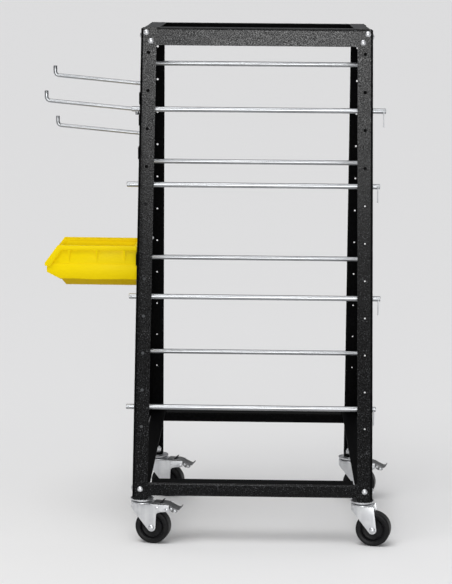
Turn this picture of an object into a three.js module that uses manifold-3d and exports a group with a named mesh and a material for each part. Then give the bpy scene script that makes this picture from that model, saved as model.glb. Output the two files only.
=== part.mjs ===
// A mobile clamp rack: four angle-iron legs on swivel casters, tied by angle rails at the top and at
// the foot, with loose cross rods to hang clamps on, and three hooks and a bin on its left side.
// Millimetres, +Z up, front at -Y. The origin is on the floor, under the middle of the leg frame.
import * as THREE from "three";
import { mergeVertices } from "three/addons/utils/BufferGeometryUtils.js";
import Module from "manifold-3d";

const wasm = await Module();
wasm.setup();

// Leg frame, over the outside of the legs
const HEIGHT = 1185;
const TOP_WIDTH = 520;
const TOP_DEPTH = 360;
const FRONT_FOOT_WIDTH = 554;
const BACK_FOOT_WIDTH = 526;
const FOOT_DEPTH = 456;

// Angle iron
const STOCK = 3;
const LEG_FLANGE = 35;
const BEND_RADIUS = 5;
const TOP_RAIL_WALL = 40;
const FOOT_RAIL_WALL = 31;
const RAIL_FLANGE = 37;
const FRONT_FOOT_RAIL_TOP = 145;
const BACK_FOOT_RAIL_TOP = 218;
const FRONT_RAIL_END_STEP = 9;

// Holes in the legs, counted down from the top, with a rod hole halfway between two bolt holes
const HOLE_COUNT = 11;
const BOLT_HOLE = 8;
const FRONT_FIRST_HOLE = 56;
const FRONT_PITCH = 85.3;
const BACK_FIRST_HOLE = 58.3;
const BACK_PITCH = 79.6;
const HOLE_INSET = 18;

// Cross rods and the pins that keep them in
const ROD_DIAMETER = 12;
const ROD_OVERHANG = 13.5;
const ROD_SHIFT = 5.5;
const ROD_CHAMFER = 1;
const ROD_END_TO_PIN = 5;
const PIN_WIRE = 2.8;
const PIN_DROP = 36;
const ROLL_PIN = 3;
const ROLL_PIN_STICK_OUT = 2.5;
const RODS = [
  { side: "front", step: 1, shift: 1 },
  { side: "front", step: 3, shift: -0.9 },
  { side: "front", step: 6, shift: 0.1 },
  { side: "front", step: 9, shift: -1 },
  { side: "back", step: 0, shift: 0.5 },
  { side: "back", step: 3, shift: -0.5 },
  { side: "back", step: 6, shift: 0.4 },
  { side: "back", step: 9, shift: -0.4 },
];

// Foot plates and casters
const CASTER_HEIGHT = 105;
const PLATE_THICKNESS = 6;
const PLATE_WELD_LAP = 1;
const PLATE_INSET = 1;
const PLATE_CORNER_CUT = 10;
const CASTER_INSET = 22;
const CASTER_TURN = THREE.MathUtils.degToRad(-12);
const CASTER_TRAIL = 27;
const WHEEL_DIAMETER = 80;
const TYRE_WIDTH = 32;
const TYRE_WALL = 12;
const TYRE_BEVEL = 2;
const HUB_WIDTH = 34;
const HUB_BOSS_WALL = 6;
const HUB_RIM_SLOPE = 3;
const AXLE_DIAMETER = 8;
const AXLE_HEAD = 14;
const AXLE_HEAD_HEIGHT = 4;
const AXLE_HEAD_TAPER = 1;
const FORK_STOCK = 2.5;
const FORK_PLAY = 1;
const FORK_TOP = 95;
const FORK_BACK = 26;
const FORK_BOSS = 10;
const BRAKE_ARM = 69;
const STEM_DIAMETER = 12;
const STEM_ABOVE_NUT = 4;
const NUT_ACROSS = 19;
const NUT_HEIGHT = 10;
const RACE_DIAMETER = 54;
const RACE_NECK = 38;
const RACE_HEIGHT = 5.7;
const KING_PIN = 10;
const KING_HEAD = 16;
const KING_HEAD_HEIGHT = 3.5;
const PEDAL_WIDTH = 30;
const PEDAL_STOCK = 2.5;
const PEDAL_REACH = 97;
const PEDAL_PIVOT_X = 52;
const PEDAL_PIVOT_DROP = 7;
const PEDAL_BARREL = 7;

// Hooks, and the flat bars across the left side that they and the bin hang on
const SIDE_BAR_HEIGHT = 26;
const HOOK_WIRE = 9;
const HOOK_RISE = THREE.MathUtils.degToRad(5.2);
const HOOK_REACH = 212;
const HOOK_TIP = 22;
const HOOK_BEND = 9;
const HOOK_CATCH = 20;
const HOOK_SLACK = 1.5;
const HOOK_FOOT = 12;
const UPPER_HOOK_DROP = 147.5;
const UPPER_HOOK_Y = 43;
const MIDDLE_HOOK_DROP = 194.8;
const MIDDLE_HOOK_Y = -135;
const LOWER_HOOK_DROP = 270.5;
const LOWER_HOOK_Y = 100;

// Bin and the bar it hangs on
const BIN_LENGTH = 212;
const BIN_WIDTH = 145;
const BIN_HEIGHT = 95;
const BIN_WALL = 2.5;
const BIN_BOTTOM = 589;
const BIN_FRONT_EDGE = -152;
const BIN_RIM = 8;
const BIN_RIM_OVERHANG = 4;
const BIN_LIP_LEVEL = 54;
const BIN_TOP_LENGTH = 182;
const BIN_FOOT_HEIGHT = 16;
const BIN_FOOT_INSET = 8;
const BIN_FOOT_LENGTH = 166;
const BIN_CATCH_DROP = 10;
const BIN_BAR_BELOW_RIM = 12;

// Clearances
const SEAT_GAP = 0.5;
const RUN_GAP = 0.4;
const TURN_GAP = 0.3;

const HOLE_SIDES = 8;
const ROD_SIDES = 12;
const WIRE_SIDES = 8;
const WHEEL_SIDES = 20;
const NUT_SIDES = 6;
const OUTER_BEND_STEPS = 3;
const INNER_BEND_STEPS = 2;
const WIRE_BEND_STEPS = 4;
const BOSS_STEPS = 5;

const BLACK_PAINT = { color: 0x1d1e21, roughness: 0.55, metalness: 0.3 };
const ZINC = { color: 0xc9ccce, roughness: 0.3, metalness: 0.9 };
const STEEL_ROD = { color: 0xd2d5d6, roughness: 0.25, metalness: 0.9 };
const RUBBER = { color: 0x18191b, roughness: 0.75, metalness: 0 };
const HUB_PLASTIC = { color: 0x212225, roughness: 0.5, metalness: 0 };
const DARK_STEEL = { color: 0x5a5c60, roughness: 0.45, metalness: 0.7 };
const YELLOW_PLASTIC = { color: 0xf2d510, roughness: 0.45, metalness: 0 };

const LEG_FOOT = CASTER_HEIGHT + PLATE_THICKNESS - PLATE_WELD_LAP;
const legSlope = (foot, top) => (foot - top) / 2 / (HEIGHT - LEG_FOOT);
const RAKE = legSlope(FOOT_DEPTH, TOP_DEPTH);
const splay = {
  front: legSlope(FRONT_FOOT_WIDTH, TOP_WIDTH),
  back: legSlope(BACK_FOOT_WIDTH, TOP_WIDTH),
};

// Half the width and depth over the legs' outside faces, at a height
const halfWidth = (side, z) => TOP_WIDTH / 2 + splay[side] * (HEIGHT - z);
const halfDepth = (z) => TOP_DEPTH / 2 + RAKE * (HEIGHT - z);

const firstHole = { front: FRONT_FIRST_HOLE, back: BACK_FIRST_HOLE };
const holePitch = { front: FRONT_PITCH, back: BACK_PITCH };
const outward = { front: -1, back: 1, left: -1, right: 1 };
const holeLevel = (side, step) => HEIGHT - firstHole[side] - step * holePitch[side];
const rodLevel = (side, step) => holeLevel(side, step + 0.5);

// Rods of one side are alike, and pass through the legs where those stand furthest apart
function rodLength(side) {
  const steps = RODS.filter((rod) => rod.side === side).map((rod) => rod.step);
  const halves = steps.map((step) => halfWidth(side, rodLevel(side, step)));
  return 2 * (Math.max(...halves) + ROD_OVERHANG);
}

const rack = new THREE.Group();

// A closed geometry as a solid that can be joined and cut
function solid(geometry) {
  const bare = geometry.index ? geometry.toNonIndexed() : geometry.clone();
  bare.deleteAttribute("normal");
  bare.deleteAttribute("uv");
  const merged = mergeVertices(bare, 1e-4);
  return new wasm.Manifold(
    new wasm.Mesh({
      numProp: 3,
      vertProperties: new Float32Array(merged.attributes.position.array),
      triVerts: new Uint32Array(merged.index.array),
    }),
  );
}

// A solid back as a geometry to draw
function geometryOf(shape) {
  const { numProp, numVert, vertProperties, triVerts } = shape.getMesh();
  const positions = new Float32Array(numVert * 3);
  for (let i = 0; i < numVert; i += 1) {
    positions.set(vertProperties.subarray(i * numProp, i * numProp + 3), i * 3);
  }
  const geometry = new THREE.BufferGeometry();
  geometry.setAttribute("position", new THREE.BufferAttribute(positions, 3));
  geometry.setIndex(new THREE.BufferAttribute(new Uint32Array(triVerts), 1));
  geometry.computeVertexNormals();
  return geometry;
}

function addPiece(name, geometry, finish, parent = rack) {
  const piece = new THREE.Mesh(geometry, new THREE.MeshStandardMaterial(finish));
  piece.name = name;
  parent.add(piece);
  return piece;
}

const joined = (shapes) => shapes.reduce((whole, shape) => whole.add(shape));
const cut = (shape, cutters) => cutters.reduce((left, cutter) => left.subtract(cutter), shape);

// A box between two corners
function boxBetween([x0, y0, z0], [x1, y1, z1]) {
  const geometry = new THREE.BoxGeometry(x1 - x0, y1 - y0, z1 - z0);
  return geometry.translate((x0 + x1) / 2, (y0 + y1) / 2, (z0 + z1) / 2);
}

// Round bars along X and along Y, centred on a point
function barAlongX(diameter, length, sides, [x, y, z]) {
  const geometry = new THREE.CylinderGeometry(diameter / 2, diameter / 2, length, sides);
  return geometry.rotateZ(Math.PI / 2).translate(x, y, z);
}

function barAlongY(diameter, length, sides, [x, y, z]) {
  const geometry = new THREE.CylinderGeometry(diameter / 2, diameter / 2, length, sides);
  return geometry.translate(x, y, z);
}

// An outline of [along, up] points, extruded across Y from front to back
function plateAcross(outline, front, back) {
  const shape = new THREE.Shape(outline.map(([x, z]) => new THREE.Vector2(x, z)));
  const geometry = new THREE.ExtrudeGeometry(shape, { depth: back - front, bevelEnabled: false });
  return geometry.rotateX(Math.PI / 2).translate(0, back, 0);
}

// Points of an arc round a centre, from one angle to another in degrees
function arc([u, v], radius, from, to, steps) {
  return Array.from({ length: steps + 1 }, (_, i) => {
    const angle = THREE.MathUtils.degToRad(from + ((to - from) * i) / steps);
    return [u + radius * Math.cos(angle), v + radius * Math.sin(angle)];
  });
}

// Bent sheet section with its outside corner at the origin and its flanges towards -u and -v
function angleSection(flangeU, flangeV) {
  const inside = Math.max(BEND_RADIUS - STOCK, STOCK / 4);
  const bend = [-BEND_RADIUS, -BEND_RADIUS];
  const innerBend = [-STOCK - inside, -STOCK - inside];
  return [
    [-flangeU, 0],
    ...arc(bend, BEND_RADIUS, 90, 0, OUTER_BEND_STEPS),
    [0, -flangeV],
    [-STOCK, -flangeV],
    ...arc(innerBend, inside, 0, 90, INNER_BEND_STEPS),
    [-flangeU, -STOCK],
  ];
}

// Leaning: moves a geometry sideways, in depth or up in step with its height, width or depth
function lean(geometry, { xByZ = 0, xByY = 0, yByZ = 0, yByX = 0, zByY = 0, pivot = 0 }) {
  const matrix = new THREE.Matrix4();
  matrix.set(1, xByY, xByZ, -xByZ * pivot, yByX, 1, yByZ, -yByZ * pivot, 0, zByY, 1, 0, 0, 0, 0, 1);
  return geometry.applyMatrix4(matrix);
}

// A wire along points, with its inner corners rounded
class WirePath extends THREE.Curve {
  constructor(corners, bend) {
    super();
    this.points = [corners[0]];
    for (let i = 1; i < corners.length - 1; i += 1) {
      const start = corners[i].clone().lerp(corners[i - 1], bend / corners[i].distanceTo(corners[i - 1]));
      const end = corners[i].clone().lerp(corners[i + 1], bend / corners[i].distanceTo(corners[i + 1]));
      const curve = new THREE.QuadraticBezierCurve3(start, corners[i], end);
      this.points.push(...curve.getPoints(WIRE_BEND_STEPS));
    }
    this.points.push(corners[corners.length - 1]);
  }

  getSpacedPoints() {
    return this.points;
  }

  getPointAt(u) {
    return this.points[Math.round(u * (this.points.length - 1))];
  }

  getTangentAt(u) {
    const i = Math.round(u * (this.points.length - 1));
    const before = this.points[Math.max(i - 1, 0)];
    const after = this.points[Math.min(i + 1, this.points.length - 1)];
    return after.clone().sub(before).normalize();
  }
}

function wire(corners, diameter, bend) {
  const path = new WirePath(corners, bend);
  const ring = arc([0, 0], diameter / 2, 0, 360, WIRE_SIDES).slice(0, -1);
  const section = new THREE.Shape(ring.map(([u, v]) => new THREE.Vector2(u, v)));
  const steps = path.points.length - 1;
  return new THREE.ExtrudeGeometry(section, { steps, extrudePath: path, bevelEnabled: false });
}

// Legs: a bent angle, with a row of bolt holes in its front or back flange, a row of rod holes in its
// side flange, and a welded foot plate that the caster's stem passes through
function footPlate(side, hand) {
  const sx = outward[hand];
  const sy = outward[side];
  const far = LEG_FLANGE;
  const cornerStart = LEG_FLANGE - PLATE_CORNER_CUT;
  const outline = [
    [PLATE_INSET, PLATE_INSET],
    [far, PLATE_INSET],
    [far, cornerStart],
    [cornerStart, far],
    [PLATE_INSET, far],
  ];
  const shape = new THREE.Shape(outline.map(([u, v]) => new THREE.Vector2(-sx * u, -sy * v)));
  const geometry = new THREE.ExtrudeGeometry(shape, { depth: PLATE_THICKNESS, bevelEnabled: false });
  return geometry.translate(sx * halfWidth(side, LEG_FOOT), sy * halfDepth(LEG_FOOT), CASTER_HEIGHT);
}

function leg(side, hand) {
  const sx = outward[hand];
  const sy = outward[side];
  const section = angleSection(LEG_FLANGE, LEG_FLANGE);
  const shape = new THREE.Shape(section.map(([u, v]) => new THREE.Vector2(sx * u, sy * v)));
  const bar = new THREE.ExtrudeGeometry(shape, { depth: HEIGHT - LEG_FOOT, bevelEnabled: false });
  bar.translate((sx * TOP_WIDTH) / 2, (sy * TOP_DEPTH) / 2, LEG_FOOT);
  lean(bar, { xByZ: -sx * splay[side], yByZ: -sy * RAKE, pivot: HEIGHT });
  const cutters = [];
  const reach = 4 * STOCK;
  for (let step = 0; step < HOLE_COUNT; step += 1) {
    const z = holeLevel(side, step);
    const middle = [sx * (halfWidth(side, z) - HOLE_INSET), sy * halfDepth(z), z];
    cutters.push(solid(barAlongY(BOLT_HOLE, reach, HOLE_SIDES, middle)));
  }
  for (let step = 0; step < HOLE_COUNT - 1; step += 1) {
    const z = rodLevel(side, step);
    const middle = [sx * halfWidth(side, z), sy * (halfDepth(z) - HOLE_INSET), z];
    cutters.push(solid(barAlongX(ROD_DIAMETER + 2 * RUN_GAP, reach, ROD_SIDES, middle)));
  }
  const stemHole = new THREE.CylinderGeometry(
    STEM_DIAMETER / 2 + RUN_GAP,
    STEM_DIAMETER / 2 + RUN_GAP,
    4 * PLATE_THICKNESS,
    ROD_SIDES,
  );
  const [x, y] = casterPlace(side, hand);
  stemHole.rotateX(Math.PI / 2).translate(x, y, CASTER_HEIGHT);
  cutters.push(solid(stemHole));
  return geometryOf(cut(joined([solid(bar), solid(footPlate(side, hand))]), cutters));
}

function casterPlace(side, hand) {
  const x = outward[hand] * (halfWidth(side, LEG_FOOT) - CASTER_INSET);
  const y = outward[side] * (halfDepth(LEG_FOOT) - CASTER_INSET);
  return [x, y];
}

// Rails: an angle along X, its wall's outer face at y = 0 and its top at z = 0, with the flange
// towards +Y and shorter than the wall where a cross rail's flange takes its place
function angleRail([wallStart, wallEnd], [flangeStart, flangeEnd], wall) {
  const section = angleSection(RAIL_FLANGE, wall);
  const shape = new THREE.Shape(section.map(([u, v]) => new THREE.Vector2(-u, v)));
  const bar = new THREE.ExtrudeGeometry(shape, { depth: wallEnd - wallStart, bevelEnabled: false });
  bar.rotateX(Math.PI / 2).rotateZ(Math.PI / 2).translate(wallStart, 0, 0);
  const notches = [];
  if (flangeStart > wallStart) {
    notches.push([wallStart - STOCK, flangeStart]);
  }
  if (flangeEnd < wallEnd) {
    notches.push([flangeEnd, wallEnd + STOCK]);
  }
  const cutters = notches.map(([start, end]) =>
    solid(boxBetween([start, STOCK, -BEND_RADIUS - STOCK], [end, 2 * RAIL_FLANGE, STOCK])),
  );
  return geometryOf(cut(solid(bar), cutters));
}

// What the rails clear: the leg's stock, the leg's bend, and the wall of a rail that lies in the leg
const insideLeg = STOCK + SEAT_GAP;
const insideBend = Math.max(BEND_RADIUS, STOCK + STOCK / 4) + SEAT_GAP;
const insideRail = 2 * (STOCK + SEAT_GAP);

function topRails() {
  const wallEnd = TOP_WIDTH / 2 - insideBend;
  const flangeEnd = TOP_WIDTH / 2 - insideLeg - RAIL_FLANGE - SEAT_GAP;
  const face = TOP_DEPTH / 2 - insideLeg;
  const lappedEnd = TOP_WIDTH / 2 - FRONT_RAIL_END_STEP;
  const boltSpan = TOP_WIDTH - LEG_FLANGE;
  const skew = -(2 * insideLeg) / boltSpan;

  const front = angleRail([-wallEnd, lappedEnd], [-flangeEnd, flangeEnd], TOP_RAIL_WALL);
  lean(front, { yByX: skew, yByZ: RAKE });
  front.translate(0, -TOP_DEPTH / 2, HEIGHT);
  addPiece("top_rail_front", front, BLACK_PAINT);

  const back = angleRail([-wallEnd, wallEnd], [-flangeEnd, flangeEnd], TOP_RAIL_WALL);
  lean(back, { yByZ: RAKE });
  back.translate(0, -face, HEIGHT).rotateZ(Math.PI);
  addPiece("top_rail_back", back, BLACK_PAINT);

  for (const hand of ["left", "right"]) {
    const end = TOP_DEPTH / 2 - insideRail - STOCK;
    const rail = angleRail([-end, end], [-end, end], TOP_RAIL_WALL);
    lean(rail, { yByZ: splay.back });
    rail.translate(0, -TOP_WIDTH / 2 + insideLeg, HEIGHT);
    rail.rotateZ((outward[hand] * Math.PI) / 2);
    addPiece(`top_rail_${hand}`, rail, BLACK_PAINT);
  }
}

function footRails() {
  const tops = { front: FRONT_FOOT_RAIL_TOP, back: BACK_FOOT_RAIL_TOP };
  for (const side of ["front", "back"]) {
    const top = tops[side];
    const wallEnd = halfWidth(side, top) - insideBend;
    const flangeEnd = halfWidth(side, top) - insideLeg - RAIL_FLANGE - STOCK;
    const rail = angleRail([-wallEnd, wallEnd], [-flangeEnd, flangeEnd], FOOT_RAIL_WALL);
    lean(rail, { yByZ: RAKE });
    rail.translate(0, -halfDepth(top) + insideLeg, top);
    rail.rotateZ(side === "back" ? Math.PI : 0);
    addPiece(`foot_rail_${side}`, rail, BLACK_PAINT);
  }
  const frontEnd = -halfDepth(FRONT_FOOT_RAIL_TOP) + insideRail;
  const backEnd = halfDepth(BACK_FOOT_RAIL_TOP) - insideRail;
  const climb = (BACK_FOOT_RAIL_TOP - FRONT_FOOT_RAIL_TOP) / (backEnd - frontEnd);
  const frontWall = halfWidth("front", FRONT_FOOT_RAIL_TOP) - insideLeg;
  const backWall = halfWidth("back", BACK_FOOT_RAIL_TOP) - insideLeg;
  const closing = (backWall - frontWall) / (backEnd - LEG_FLANGE - frontEnd);
  for (const hand of ["left", "right"]) {
    const sx = outward[hand];
    const ends = [frontEnd, backEnd].map((y) => y * sx).sort((a, b) => a - b);
    const rail = angleRail(ends, ends, FOOT_RAIL_WALL).rotateZ((sx * Math.PI) / 2);
    lean(rail, { xByZ: -sx * splay.back });
    lean(rail, { xByY: sx * closing, zByY: climb });
    rail.translate(sx * (frontWall - closing * frontEnd), 0, FRONT_FOOT_RAIL_TOP - climb * frontEnd);
    addPiece(`foot_rail_${hand}`, rail, BLACK_PAINT);
  }
}

// Cross rods: a pressed roll pin at the left end, and a wire drop pin through the right end
function rodBar(length) {
  const radius = ROD_DIAMETER / 2;
  const half = length / 2;
  const profile = [
    [0, -half],
    [radius - ROD_CHAMFER, -half],
    [radius, -half + ROD_CHAMFER],
    [radius, half - ROD_CHAMFER],
    [radius - ROD_CHAMFER, half],
    [0, half],
  ].map(([r, along]) => new THREE.Vector2(r, along));
  const bar = new THREE.LatheGeometry(profile, ROD_SIDES).rotateZ(-Math.PI / 2);
  const pinAt = half - ROD_END_TO_PIN;
  const rollPinLength = ROD_DIAMETER + 2 * ROLL_PIN_STICK_OUT;
  const rollPin = barAlongY(ROLL_PIN, rollPinLength, WIRE_SIDES, [-pinAt, 0, 0]);
  const pinHole = barAlongY(PIN_WIRE + 2 * TURN_GAP, 2 * ROD_DIAMETER, WIRE_SIDES, [pinAt, 0, 0]);
  return geometryOf(solid(bar).add(solid(rollPin)).subtract(solid(pinHole)));
}

function dropPin(length) {
  const x = length / 2 - ROD_END_TO_PIN;
  const stand = ROD_DIAMETER / 2 + PIN_WIRE;
  const corners = [
    new THREE.Vector3(x, stand, 0),
    new THREE.Vector3(x, -stand, 0),
    new THREE.Vector3(x, -stand, -PIN_DROP),
  ];
  return wire(corners, PIN_WIRE, PIN_WIRE);
}

function crossRods() {
  const counts = { front: 0, back: 0 };
  for (const { side, step, shift } of RODS) {
    counts[side] += 1;
    const z = rodLevel(side, step);
    const y = outward[side] * (halfDepth(z) - HOLE_INSET);
    const length = rodLength(side);
    const place = new THREE.Group();
    place.position.set(shift * ROD_SHIFT, y, z);
    rack.add(place);
    addPiece(`rod_${side}_${counts[side]}`, rodBar(length), STEEL_ROD, place);
    addPiece(`rod_pin_${side}_${counts[side]}`, dropPin(length), ZINC, place);
  }
}

// Casters: a fixed stem with its race and nut, a swivelling fork, and a wheel on an axle
const forkInside = HUB_WIDTH / 2 + FORK_PLAY;
const forkOutside = forkInside + FORK_STOCK;
const axleLevel = WHEEL_DIAMETER / 2;

function casterStem() {
  const forkUnder = FORK_TOP - FORK_STOCK;
  const raceTop = CASTER_HEIGHT - TURN_GAP;
  const plateTop = CASTER_HEIGHT + PLATE_THICKNESS;
  const nutFoot = plateTop + TURN_GAP;
  const stemTop = nutFoot + NUT_HEIGHT + STEM_ABOVE_NUT;
  const profile = [
    [0, forkUnder - TURN_GAP - KING_HEAD_HEIGHT],
    [KING_HEAD / 2, forkUnder - TURN_GAP - KING_HEAD_HEIGHT],
    [KING_HEAD / 2, forkUnder - TURN_GAP],
    [KING_PIN / 2, forkUnder - TURN_GAP],
    [KING_PIN / 2, FORK_TOP + TURN_GAP],
    [RACE_NECK / 2, FORK_TOP + TURN_GAP],
    [RACE_NECK / 2, raceTop - RACE_HEIGHT],
    [RACE_DIAMETER / 2, raceTop - RACE_HEIGHT],
    [RACE_DIAMETER / 2, raceTop - RACE_HEIGHT / 2],
    [RACE_DIAMETER / 2 - RACE_HEIGHT / 2, raceTop],
    [STEM_DIAMETER / 2, raceTop],
    [STEM_DIAMETER / 2, stemTop],
    [0, stemTop],
  ].map(([r, up]) => new THREE.Vector2(r, up));
  const turned = new THREE.LatheGeometry(profile, ROD_SIDES).rotateX(Math.PI / 2);
  const nutRadius = NUT_ACROSS / 2 / Math.cos(Math.PI / 6);
  const nut = new THREE.CylinderGeometry(nutRadius, nutRadius, NUT_HEIGHT, NUT_SIDES);
  nut.rotateX(Math.PI / 2).translate(0, 0, nutFoot + NUT_HEIGHT / 2);
  return geometryOf(solid(turned).add(solid(nut)));
}

function forkCheek(braked) {
  const boss = [CASTER_TRAIL, axleLevel];
  const shoulder = FORK_TOP - FORK_BOSS;
  const rightEdge = CASTER_TRAIL + FORK_BOSS;
  const armUnder = WHEEL_DIAMETER - FORK_STOCK;
  const arm = [
    [BRAKE_ARM, FORK_TOP],
    [BRAKE_ARM, armUnder + FORK_STOCK],
    [rightEdge + FORK_BOSS, armUnder],
    [rightEdge + FORK_STOCK, armUnder - FORK_BOSS / 2],
  ];
  const plain = [[CASTER_TRAIL + FORK_STOCK, FORK_TOP]];
  return [
    [-FORK_BACK, FORK_TOP],
    ...(braked ? arm : plain),
    ...arc(boss, FORK_BOSS, 0, -130, BOSS_STEPS),
    [-FORK_BACK / 2, (shoulder + axleLevel) / 2 + FORK_BOSS / 2],
    [-FORK_BACK, shoulder],
  ].reverse();
}

function fork(braked) {
  const cheek = forkCheek(braked);
  const crownEnd = CASTER_TRAIL;
  const crown = boxBetween(
    [-FORK_BACK, -forkOutside, FORK_TOP - FORK_STOCK],
    [crownEnd, forkOutside, FORK_TOP],
  );
  const whole = joined([
    solid(plateAcross(cheek, -forkOutside, -forkInside)),
    solid(plateAcross(cheek, forkInside, forkOutside)),
    solid(crown),
  ]);
  const kingHole = new THREE.CylinderGeometry(
    KING_PIN / 2 + TURN_GAP,
    KING_PIN / 2 + TURN_GAP,
    4 * FORK_STOCK,
    ROD_SIDES,
  );
  kingHole.rotateX(Math.PI / 2).translate(0, 0, FORK_TOP);
  const axleHole = barAlongY(
    AXLE_DIAMETER + 2 * TURN_GAP,
    4 * forkOutside,
    ROD_SIDES,
    [CASTER_TRAIL, 0, axleLevel],
  );
  return geometryOf(cut(whole, [solid(kingHole), solid(axleHole)]));
}

function axle() {
  const radius = AXLE_DIAMETER / 2;
  const headFoot = forkOutside + TURN_GAP;
  const headTop = headFoot + AXLE_HEAD_HEIGHT;
  const headRadius = AXLE_HEAD / 2;
  const profile = [
    [0, -headTop],
    [headRadius - AXLE_HEAD_TAPER, -headTop],
    [headRadius, -headFoot],
    [radius, -headFoot],
    [radius, headFoot],
    [headRadius, headFoot],
    [headRadius - AXLE_HEAD_TAPER, headTop],
    [0, headTop],
  ].map(([r, along]) => new THREE.Vector2(r, along));
  return new THREE.LatheGeometry(profile, ROD_SIDES).translate(CASTER_TRAIL, 0, axleLevel);
}

function ringAboutAxle(profile) {
  const closed = [...profile, profile[0]].map(([r, along]) => new THREE.Vector2(r, along));
  return new THREE.LatheGeometry(closed, WHEEL_SIDES).translate(CASTER_TRAIL, 0, axleLevel);
}

function wheelHub() {
  const bore = AXLE_DIAMETER / 2 + TURN_GAP;
  const rim = WHEEL_DIAMETER / 2 - TYRE_WALL - TURN_GAP;
  const boss = bore + HUB_BOSS_WALL;
  const half = HUB_WIDTH / 2;
  const web = HUB_WIDTH / 4;
  const rimHalf = TYRE_WIDTH / 2 - TYRE_BEVEL;
  return ringAboutAxle([
    [bore, -half],
    [boss, -half],
    [boss, -web],
    [rim - HUB_RIM_SLOPE, -web],
    [rim, -rimHalf],
    [rim, rimHalf],
    [rim - HUB_RIM_SLOPE, web],
    [boss, web],
    [boss, half],
    [bore, half],
  ]);
}

function tyre() {
  const outer = WHEEL_DIAMETER / 2;
  const inner = outer - TYRE_WALL;
  const half = TYRE_WIDTH / 2;
  const shoulder = TYRE_WALL / 3;
  return ringAboutAxle([
    [inner, -half + TYRE_BEVEL],
    [inner + TYRE_BEVEL, -half],
    [outer - shoulder, -half],
    [outer, -half + shoulder],
    [outer, half - shoulder],
    [outer - shoulder, half],
    [inner + TYRE_BEVEL, half],
    [inner, half - TYRE_BEVEL],
  ]);
}

// The brake pedal: a bent plate over the fork's arms, on a barrel between them
function brakePedal() {
  const top = FORK_TOP + TURN_GAP + PEDAL_STOCK;
  const heel = RACE_DIAMETER / 2 + PEDAL_STOCK;
  const bendAt = BRAKE_ARM - FORK_BOSS;
  const tipLevel = FORK_TOP - FORK_BOSS;
  const upper = [
    [heel, top],
    [bendAt, top],
    [PEDAL_REACH - FORK_BOSS, tipLevel],
    [PEDAL_REACH, tipLevel + PEDAL_STOCK],
  ];
  const lower = upper.map(([x, z]) => [x, z - PEDAL_STOCK]).reverse();
  const plate = plateAcross([...upper, ...lower].reverse(), -PEDAL_WIDTH / 2, PEDAL_WIDTH / 2);
  const pivotLevel = FORK_TOP - PEDAL_PIVOT_DROP;
  const barrelLength = 2 * (forkInside - TURN_GAP);
  const barrel = barAlongY(PEDAL_BARREL, barrelLength, ROD_SIDES, [PEDAL_PIVOT_X, 0, pivotLevel]);
  const web = boxBetween(
    [PEDAL_PIVOT_X - PEDAL_STOCK, -PEDAL_WIDTH / 2, pivotLevel],
    [PEDAL_PIVOT_X + PEDAL_STOCK, PEDAL_WIDTH / 2, top - PEDAL_STOCK / 2],
  );
  return geometryOf(joined([solid(plate), solid(barrel), solid(web)]));
}

const CASTERS = [
  { side: "front", hand: "left", braked: true },
  { side: "front", hand: "right", braked: false },
  { side: "back", hand: "left", braked: true },
  { side: "back", hand: "right", braked: true },
];

function casters() {
  for (const { side, hand, braked } of CASTERS) {
    const tag = `${side}_${hand}`;
    const [x, y] = casterPlace(side, hand);
    const place = new THREE.Group();
    place.position.set(x, y, 0);
    rack.add(place);
    addPiece(`caster_stem_${tag}`, casterStem(), ZINC, place);
    const swivel = new THREE.Group();
    swivel.rotation.z = CASTER_TURN;
    place.add(swivel);
    addPiece(`caster_fork_${tag}`, fork(braked), ZINC, swivel);
    addPiece(`caster_axle_${tag}`, axle(), ZINC, swivel);
    addPiece(`caster_hub_${tag}`, wheelHub(), HUB_PLASTIC, swivel);
    addPiece(`caster_tyre_${tag}`, tyre(), RUBBER, swivel);
    if (braked) {
      addPiece(`brake_pedal_${tag}`, brakePedal(), DARK_STEEL, swivel);
    }
  }
}

// Side bars: flat strips on the outside of the left legs, leaning with the front leg and closing in
// towards the back leg, which is splayed less
function barClosing(top) {
  return (halfWidth("front", top) - halfWidth("back", top)) / (2 * halfDepth(top) - LEG_FLANGE);
}

function barInside(top, y) {
  const pastLeg = y + halfDepth(top) - LEG_FLANGE;
  return -halfWidth("front", top) - SEAT_GAP + barClosing(top) * pastLeg;
}

const barOutside = (top, y, below) => barInside(top, y) - STOCK - splay.front * below;

function sideBar(top) {
  const end = halfDepth(top);
  const bar = boxBetween([-STOCK, -end, -SIDE_BAR_HEIGHT], [0, end, 0]);
  lean(bar, { xByZ: splay.front, xByY: barClosing(top) });
  return bar.translate(barInside(top, 0), 0, top);
}

// Hooks: a wire that drops behind its bar, passes over it and rises outwards to a turned-up tip, with
// a short foot welded under it against the bar's face
function hook({ barTop, y }) {
  const radius = HOOK_WIRE / 2;
  const rise = Math.tan(HOOK_RISE);
  const behind = barInside(barTop, y) + HOOK_SLACK + radius;
  const overBar = barTop + HOOK_SLACK + radius;
  const at = (x) => new THREE.Vector3(x, y, overBar + (behind - x) * rise);
  const heel = at(behind);
  const bend = at(barOutside(barTop, y, 0) - HOOK_REACH);
  const corners = [
    heel.clone().setZ(barTop - HOOK_CATCH),
    heel,
    bend,
    bend.clone().add(new THREE.Vector3(0, 0, HOOK_TIP)),
  ];
  const arm = wire(corners, HOOK_WIRE, HOOK_BEND);
  const footX = barOutside(barTop, y, HOOK_FOOT) - SEAT_GAP - radius;
  const foot = new THREE.CylinderGeometry(radius, radius, HOOK_FOOT, WIRE_SIDES);
  foot.rotateX(Math.PI / 2).translate(footX, y, at(footX).z - HOOK_FOOT / 2);
  return geometryOf(solid(arm).add(solid(foot)));
}

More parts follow.
